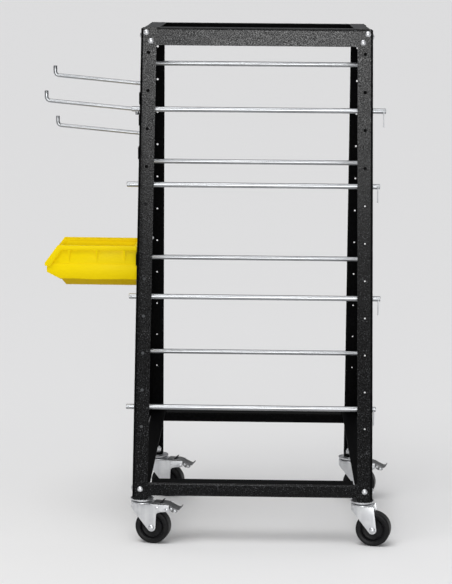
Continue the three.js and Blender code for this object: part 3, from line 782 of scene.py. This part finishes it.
def build_wheel(tag):
    place = caster_matrix(tag) @ across_at(TRAIL, AXLE_LEVEL)
    tyre = moved(turned(closed(both_ways(TYRE_WALL)), steps=72), place)
    hub = moved(turned(closed(both_ways(HUB_WALL)), steps=72), place)
    body = f"wheel_{tag}"
    add_piece(f"tyre_{tag}", tyre, RUBBER, body, "tyre_rubber", f"caster_tyre_{tag}")
    add_piece(f"hub_{tag}", hub, HUB_PLASTIC, body, "hub_plastic", f"caster_hub_{tag}")


for tag in CASTER_TAGS:
    build_wheel(tag)
print("wheels:", len(CASTER_TAGS))

# %% [markdown]
# ## Fork sheet
# A fork is pressed from one sheet: two cheeks that taper to the axle, a crown between them, and a
# skirt that wraps round the back. It could be folded from a flat blank, but its parts are simpler
# to draw one by one: the cheeks are pushed out from their outline, and the skirt is half a spin
# that is stretched, cut on the slant and given its thickness. Braked cheeks reach out to the
# pedal.

# %% Draw the fork's sheet
BRAKED_TAGS = ("front_left", "back_left", "back_right")
FORK_INSIDE = 18
FORK_OUTSIDE = 20.5
FORK_TOP = 95
FORK_STOCK = 2.5
FORK_BACK = 26
BOSS = 10
BOSS_SWEEP = 130
BOSS_STEPS = 10
CHEEK_BACK = [(-4, 62.5), (-8, 67), (-8, FORK_TOP)]
PLAIN_TOP = [(TRAIL + FORK_STOCK, FORK_TOP)]
BRAKE_ARM = [(69, FORK_TOP), (69, 80), (49, 77.5), (42, 75.5), (38.5, 71.5)]
SKIRT_LOW = 60
SKIRT_STEPS = 24
SKIRT_CUT = 84
SKIRT_SLANT = (-1, 0, -1.15)


def cheek_outline(braked):
    turns = [math.radians(-BOSS_SWEEP * i / BOSS_STEPS) for i in range(BOSS_STEPS + 1)]
    boss = [(TRAIL + BOSS * math.cos(t), AXLE_LEVEL + BOSS * math.sin(t)) for t in turns]
    return [CHEEK_BACK[-1], *(BRAKE_ARM if braked else PLAIN_TOP), *boss, *CHEEK_BACK[:-1]]


def fork_skirt():
    skirt = bmesh.new()
    rail = [skirt.verts.new((0, FORK_OUTSIDE * MM, z * MM)) for z in (FORK_TOP, SKIRT_LOW)]
    edge = skirt.edges.new(rail)
    bmesh.ops.spin(
        skirt,
        geom=rail + [edge],
        cent=(0, 0, 0),
        axis=(0, 0, 1),
        angle=math.pi,
        steps=SKIRT_STEPS,
    )
    stretch_back = Matrix.Diagonal((FORK_BACK / FORK_OUTSIDE, 1, 1, 1))
    bmesh.ops.transform(skirt, matrix=stretch_back, verts=skirt.verts)
    bmesh.ops.bisect_plane(
        skirt,
        geom=skirt.verts[:] + skirt.edges[:] + skirt.faces[:],
        plane_co=(-FORK_BACK * MM, 0, SKIRT_CUT * MM),
        plane_no=SKIRT_SLANT,
        clear_outer=True,
    )
    bmesh.ops.recalc_face_normals(skirt, faces=skirt.faces)
    bmesh.ops.solidify(skirt, geom=skirt.faces[:], thickness=FORK_STOCK * MM)
    return skirt


print("cheek corners:", len(cheek_outline(False)), "plain,", len(cheek_outline(True)), "braked")

# %% [markdown]
# ## Forks and axles
# On the crown lies a shallow dish that carries the balls, the axle has a domed head at each end,
# and rivets close the arms of a braked fork. These are round, so they are turned and laid across.

# %% Build the forks
FORK_EDGE = 0.8
CROWN_BACK = -20
ARM_RIVETS = ((39.5, 87.5), (62.5, 84))
RIVET_END = [(4, 20.2), (3.6, 21), (2.2, 21.6), (0, 21.8)]
AXLE_END = [(4, 20.8), (7, 20.8), (6.5, 22.7), (5, 23.9), (2.8, 24.6), (0, 24.8)]
DISH_PROFILE = [
    (19.6, 94.8),
    (24.8, 94.8),
    (25.8, 95.7),
    (25.6, 96.9),
    (24.4, 97.5),
    (22, 97.2),
    (19.6, 96.8),
]


def build_fork(tag):
    braked = tag in BRAKED_TAGS
    outline = cheek_outline(braked)
    crown_low = (CROWN_BACK, -FORK_OUTSIDE, FORK_TOP - FORK_STOCK)
    crown_high = (TRAIL, FORK_OUTSIDE, FORK_TOP)
    sheets = [
        sheet_across(outline, -FORK_OUTSIDE, -FORK_INSIDE),
        sheet_across(outline, FORK_INSIDE, FORK_OUTSIDE),
        block(crown_low, crown_high),
    ]
    shapes = [soften(sheet, FORK_EDGE, segments=3) for sheet in sheets]
    shapes += [fork_skirt(), turned(closed(DISH_PROFILE))]
    if braked:
        for x, z in ARM_RIVETS:
            shapes.append(moved(turned(both_ways(RIVET_END), steps=20), across_at(x, z)))
    place = caster_matrix(tag)
    body = f"swivel_{tag}"
    fork = moved(gather(*shapes), place)
    add_piece(f"fork_{tag}", fork, ZINC, body, "zinc", f"caster_fork_{tag}")
    on_axle = place @ across_at(TRAIL, AXLE_LEVEL)
    axle = moved(turned(both_ways(AXLE_END), steps=32), on_axle)
    add_piece(f"axle_{tag}", axle, ZINC, body, "zinc", f"caster_axle_{tag}")


print("braked forks:", len(BRAKED_TAGS), "of", len(CASTER_TAGS))

# %% [markdown]
# ## Stems
# The stem's race sits over the fork's dish with a dark gap between, and a nut holds the stem to
# the leg's foot plate. Stem and race never turn against each other, so they share one turned
# section. The nut is a six-sided cone with equal ends, because turning can only make round things.

# %% Build the stems
NUT_EDGE = 0.7
NUT_ACROSS = 15
NUT_LOW = 111.3
NUT_HIGH = 121.3
STEM_PROFILE = [
    (0, 88.7),
    (6.5, 88.7),
    (8, 90),
    (8, 92.2),
    (5, 92.2),
    (5, 95.3),
    (18, 95.3),
    (18.4, 97.8),
    (21.5, 98.6),
    (24.6, 100.2),
    (26.5, 102.4),
    (26.9, 104.2),
    (26.2, 104.7),
    (25.2, 103.6),
    (22.5, 101.8),
    (18, 101.2),
    (6, 101.2),
    (6, 124.4),
    (5, 125.3),
    (0, 125.3),
]


def hex_nut(across, low, high):
    nut = bmesh.new()
    radius = across / 2 / math.cos(math.pi / 6) * MM
    bmesh.ops.create_cone(
        nut,
        cap_ends=True,
        segments=6,
        radius1=radius,
        radius2=radius,
        depth=(high - low) * MM,
        matrix=Matrix.Translation((0, 0, (low + high) / 2 * MM)),
    )
    return soften(nut, NUT_EDGE)


def build_stem(tag):
    stem = gather(turned(STEM_PROFILE), hex_nut(NUT_ACROSS, NUT_LOW, NUT_HIGH))
    stem = moved(stem, caster_matrix(tag))
    add_piece(f"stem_{tag}", stem, ZINC, "frame", "zinc", f"caster_stem_{tag}")


for tag in CASTER_TAGS:
    build_fork(tag)
    build_stem(tag)
print("forks and stems:", len(CASTER_TAGS))

# %% [markdown]
# ## Brake pedals
# A pedal is one strip of sheet: flat over the fork, then bent down to a curled toe, with a tab on
# each side and two pins through the tabs. A dark bar across the top stands in for the shadow in a
# slot there, which is painted shadow. It turns on a barrel between the fork's arms, so the strip,
# a web and the barrel move as one. A bent plane could be given a thickness, but drawing the
# strip's whole side gives both faces of each bend at once.

# %% Build the brake pedals
PEDAL_HALF = 15
PEDAL_EDGE = 0.5
PEDAL_PIVOT = (52, 88)
PEDAL_TOP = [
    (29.5, 97.8),
    (42, 97.8),
    (57, 97.7),
    (61, 97),
    (66, 94.9),
    (74, 91.2),
    (82, 87.6),
    (86, 86.2),
    (89, 86.1),
    (91.4, 87),
    (92.8, 88.6),
    (93.2, 90.4),
]
PEDAL_UNDER = [
    (95.2, 90),
    (94.8, 87.8),
    (93.2, 85.4),
    (90.4, 83.8),
    (86, 83.6),
    (82, 84.9),
    (74, 88.5),
    (66, 92.2),
    (60.5, 94.5),
    (57, 95.2),
    (42, 95.3),
    (29.5, 95.3),
]
BARREL_END = [(3.5, 17.2), (3.1, 17.7), (0, 17.7)]
WEB_HALF = 2.5
WEB_TOP = 96
TAB_OUTLINE = [
    (66, 92),
    (74, 88.5),
    (86, 84),
    (88.5, 80.5),
    (84, 77),
    (80, 79),
    (76, 77.5),
    (70, 82),
]
TAB_INSIDE = 12.6
TAB_EDGE = 0.4
TAB_PINS = ((73, 85.5), (82, 80.8))
PIN_END = [(3.3, 15.6), (2.2, 16.7), (0, 17)]
SLOT_SHADE_OUTLINE = [(46, 97.2), (49, 97.2), (52.5, 101.6), (50.5, 102), (46, 99.4)]
SLOT_SHADE_HALF = 15.5
SLOT_SHADE_EDGE = 0.6


def build_pedal(tag):
    place = caster_matrix(tag)
    body = f"brake_{tag}"
    x, z = PEDAL_PIVOT
    strip = soften(sheet_across(PEDAL_TOP + PEDAL_UNDER, -PEDAL_HALF, PEDAL_HALF), PEDAL_EDGE)
    barrel = moved(turned(both_ways(BARREL_END), steps=24), across_at(x, z))
    web = block((x - WEB_HALF, -PEDAL_HALF, z), (x + WEB_HALF, PEDAL_HALF, WEB_TOP))
    reaches = ((-PEDAL_HALF, -TAB_INSIDE), (TAB_INSIDE, PEDAL_HALF))
    tabs = [soften(sheet_across(TAB_OUTLINE, *reach), TAB_EDGE) for reach in reaches]
    pedal = moved(gather(strip, barrel, soften(web, TAB_EDGE), *tabs), place)
    # The pedal takes the darker steel, which is painted shade.
    add_piece(f"pedal_{tag}", pedal, SHADED_STEEL, body, "pedal_steel", f"brake_pedal_{tag}")
    # Painted shadow: a dark bar that stands in for the shadow of a slot across the pedal.
    grip = moved(soften(sheet_across(SLOT_SHADE_OUTLINE, -SLOT_SHADE_HALF, SLOT_SHADE_HALF), SLOT_SHADE_EDGE), place)
    add_piece(f"pedal_slot_shade_{tag}", grip, HUB_PLASTIC, body, "hub_plastic")
    pins = [moved(turned(both_ways(PIN_END), steps=16), across_at(*at)) for at in TAB_PINS]
    add_piece(f"pedal_pins_{tag}", moved(gather(*pins), place), ZINC, body, "zinc")


for tag in BRAKED_TAGS:
    build_pedal(tag)
print("pedals:", len(BRAKED_TAGS))

# %% [markdown]
# ## Wire hooks
# A hook is one length of round wire: down behind its bar, over it, out on a slight rise and up at
# the tip. A short foot under it rests on the bar's face. Three lists of points would do, but the
# hooks differ only in place, so the bends come from each solid's box and the rise is shared.

# %% Build the hooks
HOOK_WIRE = 9
HOOK_RISE = math.radians(5.2)
HOOK_TIP = 22
HOOK_BEND = 9
HOOK_EDGE = 0.7
HOOK_FOOT = 12
HOOK_FOOT_OUT = 14.2
HOOK_FOOT_EDGE = 0.5


def build_hook(level):
    name = f"hook_{level}"
    low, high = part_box(name)
    radius = HOOK_WIRE / 2
    y = (low.y + high.y) / 2 / MM
    behind = high.x / MM - radius
    tip = low.x / MM + radius
    bend_level = high.z / MM - HOOK_TIP
    rise = math.tan(HOOK_RISE)
    heel_level = bend_level - (behind - tip) * rise
    corners = [
        (behind, y, low.z / MM),
        (behind, y, heel_level),
        (tip, y, bend_level),
        (tip, y, bend_level + HOOK_TIP),
    ]
    arm = soften(wire(corners, HOOK_WIRE, HOOK_BEND), HOOK_EDGE)
    foot_level = heel_level + HOOK_FOOT_OUT * rise
    foot_x = behind - HOOK_FOOT_OUT
    foot_ends = [(foot_x, y, foot_level - HOOK_FOOT), (foot_x, y, foot_level)]
    foot = soften(wire(foot_ends, HOOK_WIRE, HOOK_BEND), HOOK_FOOT_EDGE)
    add_piece(f"wire_{name}", gather(arm, foot), DRAWN_STEEL, name, "zinc", name)
    return round(heel_level, 1)


LEVELS = ("upper", "middle", "lower")
print("hook levels:", [build_hook(level) for level in LEVELS])

# %% [markdown]
# ## The bin's shell
# A small-parts bin is a thin moulded shell, open at the top and at its slanted front, on a
# narrower foot so that bins stack. A boolean could hollow a block, but it leaves stray edges, so
# the side outline is pushed across, the two open faces are deleted and the rest gets a wall. It is
# drawn with X running outwards from the back wall.

# %% Mould the shell and the foot
BIN_WIDTH = 145
BIN_NEAR = -BIN_WIDTH / 2
BIN_FAR = BIN_WIDTH / 2
BIN_HEIGHT = 95
BIN_WALL = 2.5
BIN_EDGE = 1.2
BIN_FRONT = 208
BIN_TOP_LENGTH = 182
BIN_LIP = 54
BIN_OVERHANG = 5.5
BIN_FLOOR = 16
BIN_CHAMFER = 32
BIN_FOOT_LENGTH = 166
BIN_FOOT_INSET = 12
FOOT_DRAFT = 0.72
FOOT_TUCK = 1
OPEN = 0.95


def bin_shell():
    outline = [
        (0, BIN_FLOOR),
        (BIN_FRONT - BIN_CHAMFER, BIN_FLOOR),
        (BIN_FRONT, BIN_CHAMFER),
        (BIN_FRONT, BIN_LIP),
        (BIN_TOP_LENGTH, BIN_HEIGHT),
        (0, BIN_HEIGHT),
    ]
    shell = sheet_across(outline, BIN_NEAR + BIN_OVERHANG, BIN_FAR - BIN_OVERHANG)
    slope = Vector((BIN_HEIGHT - BIN_LIP, 0, BIN_FRONT - BIN_TOP_LENGTH)).normalized()
    up = Vector((0, 0, 1))
    openings = [f for f in shell.faces if max(f.normal.dot(up), f.normal.dot(slope)) > OPEN]
    bmesh.ops.delete(shell, geom=openings, context="FACES")
    bmesh.ops.solidify(shell, geom=list(shell.faces), thickness=BIN_WALL * MM)
    return soften(shell, BIN_EDGE)


def bin_foot():
    outline = [
        (BIN_WALL, 0),
        (BIN_FOOT_LENGTH, 0),
        (BIN_FRONT - BIN_CHAMFER, BIN_FLOOR + FOOT_TUCK),
        (BIN_WALL, BIN_FLOOR + FOOT_TUCK),
    ]
    foot = sheet_across(outline, BIN_NEAR + BIN_FOOT_INSET, BIN_FAR - BIN_FOOT_INSET)
    low = [v for v in foot.verts if v.co.z < MM]
    bmesh.ops.scale(foot, vec=(1, FOOT_DRAFT, 1), verts=low)
    return soften(foot, BIN_EDGE)


print("bin:", BIN_FRONT, "x", BIN_WIDTH, "x", BIN_HEIGHT, "mm")

# %% [markdown]
# ## The bin's rim, ribs and bands
# A thick rim runs round the shell and ends in a lip at the front. Tapered ribs stiffen the walls
# under it, and below them each wall is a little thicker. All could be pulled out of the shell's
# own faces, but separate parts that sink into it keep their crisp lines when their edges are
# softened.

# %% Add the rim, the ribs and the bands
BIN_LENGTH = 212
BIN_RIM = 10
RIM_BEND = BIN_TOP_LENGTH - 9
LIP_BACK = BIN_LENGTH - 13
LIP_LOW = BIN_LIP - 7
RIM_TUCK = 1
BAND_LEVEL = 52
BAND_FRONT_LEVEL = BAND_LEVEL - 6
BAND_FRONT = 198
BAND_PROUD = 1.2
BAND_TUCK = 0.4
BAND_INSET = 0.6
BAND_EDGE = 0.5
RIB_PLACES = (28, 92, 156)
RIB_TIP = BAND_LEVEL + 3
RIB_TIP_HALF = 0.6
RIB_TOP_HALF = 3
RIB_TUCK = 0.5
RIB_TAPER = 0.9


def bin_rim():
    side = [
        (0, BIN_HEIGHT - BIN_RIM),
        (RIM_BEND, BIN_HEIGHT - BIN_RIM),
        (LIP_BACK, LIP_LOW),
        (BIN_LENGTH, LIP_LOW),
        (BIN_LENGTH, BIN_LIP),
        (BIN_TOP_LENGTH, BIN_HEIGHT),
        (0, BIN_HEIGHT),
    ]
    near_in = BIN_NEAR + BIN_OVERHANG + BIN_WALL
    far_in = BIN_FAR - BIN_OVERHANG - BIN_WALL
    near, far = near_in - RIM_TUCK, far_in + RIM_TUCK
    parts = [
        sheet_across(side, BIN_NEAR, near_in),
        sheet_across(side, far_in, BIN_FAR),
        block((BIN_FRONT - BIN_WALL, near, LIP_LOW), (BIN_LENGTH, far, BIN_LIP)),
        block((0, near, BIN_HEIGHT - BIN_RIM), (BIN_OVERHANG, far, BIN_HEIGHT)),
    ]
    return [soften(part, BIN_EDGE, segments=3) for part in parts]


def bin_rib(x, wall, rim):
    top = BIN_HEIGHT - BIN_RIM
    outline = [
        (x - RIB_TIP_HALF, RIB_TIP),
        (x + RIB_TIP_HALF, RIB_TIP),
        (x + RIB_TOP_HALF, top),
        (x - RIB_TOP_HALF, top),
    ]
    rib = sheet_across(outline, wall, rim)
    ends = [v for v in rib.verts if v.co.z < (RIB_TIP + 1) * MM]
    outer = [v for v in ends if abs(v.co.y - rim * MM) < MM / 10]
    bmesh.ops.translate(rib, vec=(0, (wall - rim) * MM * RIB_TAPER, 0), verts=outer)
    return rib


def bin_ribs():
    wall = BIN_FAR - BIN_OVERHANG - RIB_TUCK
    rim = BIN_FAR - RIB_TUCK
    return [bin_rib(x, side * wall, side * rim) for side in (-1, 1) for x in RIB_PLACES]


def bin_bands():
    low = BIN_FLOOR + BAND_INSET
    outline = [
        (0, low),
        (BIN_FRONT - BIN_CHAMFER - BAND_INSET / 2, low),
        (BIN_FRONT - BAND_INSET, BIN_CHAMFER + BAND_INSET / 2),
        (BIN_FRONT - BAND_INSET, BAND_FRONT_LEVEL),
        (BAND_FRONT, BAND_LEVEL),
        (0, BAND_LEVEL),
    ]
    near, far = BIN_NEAR + BIN_OVERHANG, BIN_FAR - BIN_OVERHANG
    reaches = ((near - BAND_PROUD, near + BAND_TUCK), (far - BAND_TUCK, far + BAND_PROUD))
    return [soften(sheet_across(outline, *reach), BAND_EDGE) for reach in reaches]


print("ribs:", 2 * len(RIB_PLACES))

# %% [markdown]
# ## Hanging the bin
# Behind the back wall a bridge and a tongue form a catch that drops over the flat bar. The bin
# hangs on the left, so the whole is turned round. Mirroring would do that too, but it turns faces
# inside out.

# %% Hang the bin
BIN_PLACE = (-270.93, -79.5, 589)
BIN_TURN = math.radians(180 - 1.032)
CATCH_REACH = 7
CATCH_DROP = 10
CATCH_EDGE = 0.5
BAR_TOP = BIN_HEIGHT - 12
BRIDGE_LOW = BAR_TOP + 0.3
BRIDGE_HIGH = BAR_TOP + 2.8


def bin_catch():
    near, far = BIN_NEAR + BIN_FOOT_INSET, BIN_FAR - BIN_FOOT_INSET
    bridge = block((-CATCH_REACH, near, BRIDGE_LOW), (BIN_WALL, far, BRIDGE_HIGH))
    tongue_low = (-CATCH_REACH, near, BAR_TOP - CATCH_DROP)
    tongue = block(tongue_low, (BIN_WALL - CATCH_REACH, far, BRIDGE_HIGH))
    return [soften(part, CATCH_EDGE) for part in (bridge, tongue)]


turn_round = Matrix.Translation(Vector(BIN_PLACE) * MM) @ Matrix.Rotation(BIN_TURN, 4, "Z")
bin_shape = gather(bin_shell(), *bin_rim(), *bin_ribs(), *bin_bands(), bin_foot(), *bin_catch())
add_piece("parts_bin", moved(bin_shape, turn_round), YELLOW, "bin", "bin_plastic", "bin")

# %% [markdown]
# ## One bolt
# A bolt is a head, a shank and a hexagon nut behind the sheets that it grips. Most heads are
# domes, and those at the front ends of the side bars are flat, so that they hardly stand out past
# the leg. A half sphere would be too tall for a dome, so the head is turned like the rest, and the
# bolt is then laid the way its face looks. The legs lean, so the place on a face follows from its
# height.

# %% Make a bolt
TOP_HALF_DEPTH = 180
SPLAY = {"front": 17 / 1075, "back": 3 / 1075}
RAKE = 48 / 1075
HEAD_PROFILE = [(0, 4), (2.4, 3.8), (4.6, 2.9), (6.1, 1.5), (6.8, 0.1), (0, 0.1)]
FLAT_HEAD_PROFILE = [(0, 0.3), (5.2, 0.3), (5.8, -0.2), (3, -1.4), (0, -1.4)]
BOLT_NUT_ACROSS = 11
BOLT_NUT_REACH = 5.5
BOLT_NUT_GAP = 0.1
SHANK_RADIUS = 3
SHANK_TIP_RADIUS = 2.6
SHANK_REACH = 7.4
SHANK_TIP_REACH = 8
HEAD_TUCK = 0.2
OUTWARD = {"front": -1, "back": 1, "left": -1, "right": 1}
TURNS = {"front": math.pi, "back": 0, "left": math.pi / 2, "right": -math.pi / 2}


def half_width(side, z):
    return TOP_HALF_WIDTH + SPLAY[side] * (HEIGHT - z)


def half_depth(z):
    return TOP_HALF_DEPTH + RAKE * (HEIGHT - z)


def shank_profile(grip):
    tip = -grip - SHANK_TIP_REACH
    end = [(0, tip), (SHANK_TIP_RADIUS, tip), (SHANK_RADIUS, -grip - SHANK_REACH)]
    return [*end, (SHANK_RADIUS, HEAD_TUCK), (0, HEAD_TUCK)]


def bolt(side, across, z, grip, proud=0, head_profile=HEAD_PROFILE):
    facing = Matrix.Rotation(TURNS[side], 4, "Z") @ ALONG_Y
    if side in SIDES:
        at = (across, OUTWARD[side] * (half_depth(z) + proud), z)
    else:
        leg = "front" if across < 0 else "back"
        at = (OUTWARD[side] * (half_width(leg, z) + proud), across, z)
    head = turned(head_profile, steps=24)
    nut = hex_nut(BOLT_NUT_ACROSS, -grip - BOLT_NUT_REACH, -grip - BOLT_NUT_GAP)
    shank = turned(shank_profile(grip), steps=12)
    return moved(gather(head, nut, shank), Matrix.Translation(Vector(at) * MM) @ facing)


print("half width at the floor:", {side: round(half_width(side, 0), 1) for side in SPLAY})

# %% [markdown]
# ## Bolts and nuts
# At the top, two bolts hold each end of the front and back rails and one each end of the side
# rails. Every foot rail and side bar has one at each end. A piece for every bolt would fill the
# list with copies that never move, so all those on one side of the frame make one piece.

# %% Build the bolts
PLATE = 3
PROUD = 0.5
SUNK = 0.6
LAPPED = 2 * PLATE + PROUD
TOP_BOLTS = ((12, 1173.5), (22.5, 1154.5))
SIDE_BOLT = (26, 1166)
FOOT_BOLT_INSET = 18
FOOT_BOLT_STEP = 2
FOOT_LEVELS = {"front": 129.5, "back": 202.5}
BAR_BOLT_INSET = 27
BARS = ("hook_bar_upper", "hook_bar_middle", "hook_bar_lower", "bin_bar")


def side_bolts(side):
    made = []
    for hand in (-1, 1):
        for inset, z in TOP_BOLTS:
            lapping = side == "front" and hand == 1
            across = hand * (half_width(side, z) - inset)
            made.append(bolt(side, across, z, LAPPED, PLATE + PROUD if lapping else 0))
        z = FOOT_LEVELS[side]
        made.append(bolt(side, hand * (half_width(side, z) - FOOT_BOLT_INSET), z, LAPPED))
    return made


def hand_bolts(hand):
    made = []
    for side in SIDES:
        inset, z = SIDE_BOLT
        made.append(bolt(hand, OUTWARD[side] * (half_depth(z) - inset), z, LAPPED))
        z = FOOT_LEVELS[side] - FOOT_BOLT_STEP
        made.append(bolt(hand, OUTWARD[side] * (half_depth(z) - FOOT_BOLT_INSET), z, LAPPED))
    return made


def bar_bolts():
    made = []
    for name in BARS:
        low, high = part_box(name)
        z = (low.z + high.z) / 2 / MM
        across = half_depth(z) - BAR_BOLT_INSET
        made.append(bolt("left", -across, z, PLATE, PLATE - SUNK, FLAT_HEAD_PROFILE))
        made.append(bolt("left", across, z, LAPPED, PLATE + PROUD))
    return made


bolt_sets = {f"bolts_{side}": side_bolts(side) for side in SIDES}
bolt_sets |= {f"bolts_{hand}": hand_bolts(hand) for hand in ("left", "right")}
bolt_sets["bolts_side_bars"] = bar_bolts()
print("bolts:", {name: len(bolts) for name, bolts in bolt_sets.items()})
for name, bolts in bolt_sets.items():
    add_piece(name, gather(*bolts), ZINC, "frame", "zinc")

# %% [markdown]
# ## Hole rims and plugs
# Each bolt hole in the legs gets a black rim a little under the face, which narrows it, more so
# lower down on the back legs. The holes could be made smaller in the iron, but its copy keeps the
# solid's holes. No light comes through the holes of the front left leg and the upper ones of the
# front right leg, because the back legs stand behind them. Those holes are closed by dark plugs
# that stand in for that shade, which is painted shade, turning lighter grey lower down where more
# light shows through.

# %% Build the hole rims
HOLE_COUNT = 11
HOLE_INSET = 18
FIRST_HOLE = {"front": 56, "back": 58.3}
HOLE_PITCH = {"front": 85.3, "back": 79.6}
HOLE_RADIUS = 4.2
RIM_BACK = -2.7
RIM_FACE = -0.4
RIM_EDGE = 0.4
RIM_THROAT = -0.9
FRONT_BORE = 2.1
BACK_BORE = 2.6
BORE_STEP = 0.1
PLUGGED_STEPS = 4
PLUG_PROFILE = [(0, RIM_BACK), (HOLE_RADIUS, RIM_BACK), (HOLE_RADIUS, RIM_THROAT), (0, RIM_THROAT)]


def rim_profile(bore):
    outside = [(HOLE_RADIUS, RIM_BACK), (HOLE_RADIUS, RIM_FACE)]
    return closed([(bore, RIM_BACK), *outside, (bore + RIM_EDGE, RIM_FACE), (bore, RIM_THROAT)])


def fill_hole(side, hand, step, profile):
    facing = Matrix.Rotation(TURNS[side], 4, "Z") @ ALONG_Y
    z = HEIGHT - FIRST_HOLE[side] - step * HOLE_PITCH[side]
    at = Vector((hand * (half_width(side, z) - HOLE_INSET), OUTWARD[side] * half_depth(z), z))
    return moved(turned(profile, steps=20), Matrix.Translation(at * MM) @ facing)


def fill_leg(side, hand, profiles):
    return [fill_hole(side, hand, step, profile) for step, profile in enumerate(profiles)]


plugs = [PLUG_PROFILE] * HOLE_COUNT
front_rims = plugs[:PLUGGED_STEPS] + [rim_profile(FRONT_BORE)] * (HOLE_COUNT - PLUGGED_STEPS)
back_rims = [rim_profile(BACK_BORE - BORE_STEP * step) for step in range(HOLE_COUNT)]
# The plugs are painted shade that stands in for the back legs seen through the holes.
left_plugs = gather(*fill_leg("front", -1, plugs))
add_piece("hole_shade_plugs_front", left_plugs, PLUG_SHADE_PLASTIC, "frame", "hub_plastic")
right_rims = gather(*fill_leg("front", 1, front_rims))
add_piece("hole_rims_front", right_rims, SHADED_PAINT, "frame", "frame_paint")
rear_rims = gather(*fill_leg("back", -1, back_rims), *fill_leg("back", 1, back_rims))
add_piece("hole_rims_back", rear_rims, SHADED_PAINT, "frame", "frame_paint")
print("hole rims and plugs:", 4 * HOLE_COUNT)

# %% [markdown]
# ## The floor
# The rack stands on a pale studio floor that fills the whole picture, because the camera looks
# down a little. A curved backdrop would do the same from the front only, so the floor is one wide
# disc. It is painted darker towards the lamps, so that no bright pool shows under them.

# %% Lay the floor
FLOOR_RADIUS = 400
LAMP_TONES = {-9: 0.7, -7.6: 0.6, -7.2: 0.27, -6.4: 0.17, -5.2: 0.23}
NEAR_TONES = {-4.2: 0.33, -2.6: 0.48, -1.4: 0.7}
# Painted shade: from under the rack backwards the floor is painted a little darker.
RACK_SHADE_TONES = {-0.6: 0.86, -0.2: 0.85, 0.2: 0.81, 0.7: 0.8}
FLOOR_TONES = LAMP_TONES | NEAR_TONES | RACK_SHADE_TONES

floor_shape = bmesh.new()
bmesh.ops.create_circle(floor_shape, cap_ends=True, radius=FLOOR_RADIUS, segments=96)
floor_mesh = bpy.data.meshes.new("floor")
floor_shape.to_mesh(floor_mesh)
floor_shape.free()
floor = bpy.data.objects.new("floor", floor_mesh)
bpy.context.scene.collection.objects.link(floor)
floor_paint, floor_shader, floor_place = start_finish("studio_floor", 0.9, specular=0.0)
first, span = min(FLOOR_TONES), max(FLOOR_TONES) - min(FLOOR_TONES)
floor_stops = [((y - first) / span, (grey, grey, grey)) for y, grey in FLOOR_TONES.items()]
tint(floor_shader, (along(floor_place, "Y") - first) * (1 / span), *floor_stops)
floor_mesh.materials.append(floor_paint)
print("floor tones:", len(floor_stops))

# %% [markdown]
# ## The lamps
# A wide soft sun gives even light and soft shadows to the right. Two lamps in front, a bright one
# over a dimmer one, make the paint paler towards the top. One tall lamp would light the whole leg
# alike. The camera doesn't see them, because they stand in for lamps outside the picture.

# %% Set the lamps
SUN_PLACE = (-1.0, -2.0, 5.0)
SUN_SPREAD = math.radians(38)
SUN_POWER = 1.2
LAMP_PLACE = (0.05, -7.2)
LAMP_TARGET = (0, 0, 1)
LAMP_WIDTH = 1.5
FRONT_LAMPS = {"upper_lamp": (1.58, 0.8, 155), "lower_lamp": (1.0, 0.36, 11)}


def add_lamp(name, kind, place, target, energy, **settings):
    data = bpy.data.lights.new(name, kind)
    data.energy = energy
    for key, value in settings.items():
        setattr(data, key, value)
    lamp = bpy.data.objects.new(name, data)
    lamp.location = place
    lamp.rotation_mode = "QUATERNION"
    lamp.rotation_quaternion = (Vector(target) - Vector(place)).to_track_quat("-Z", "Y")
    bpy.context.scene.collection.objects.link(lamp)
    return lamp


add_lamp("soft_sun", "SUN", SUN_PLACE, (0, 0, 0), SUN_POWER, angle=SUN_SPREAD)
for name, (level, tall, power) in FRONT_LAMPS.items():
    panel = {"shape": "RECTANGLE", "size": LAMP_WIDTH, "size_y": tall}
    lamp = add_lamp(name, "AREA", (*LAMP_PLACE, level), LAMP_TARGET, power, **panel)
    lamp.visible_camera = False

# %% [markdown]
# ## The sky
# Bright metal looks like metal only if it has something to mirror. A photograph of a studio could
# be wrapped round the scene, but a ramp over the height is enough: it is brighter overhead than at
# the horizon, with a dark band between, so that round metal shows light and dark bands.

# %% Paint the sky
world = bpy.data.worlds.new("studio")
world.use_nodes = True
bpy.context.scene.world = world
sky_tree = world.node_tree
sky_place = Shade(sky_tree, sky_tree.nodes.new("ShaderNodeTexCoord").outputs["Generated"])
sky = ramp(
    along(sky_place, "Z") * 0.5 + 0.5,
    (0.50, (0.62, 0.62, 0.63)),
    (0.55, (0.48, 0.48, 0.49)),
    (0.60, (0.12, 0.12, 0.125)),
    (0.70, (0.20, 0.20, 0.205)),
    (0.90, (0.76, 0.76, 0.77)),
)
sky.feed(sky_tree.nodes["Background"], "Color")
print("sky:", world.name)
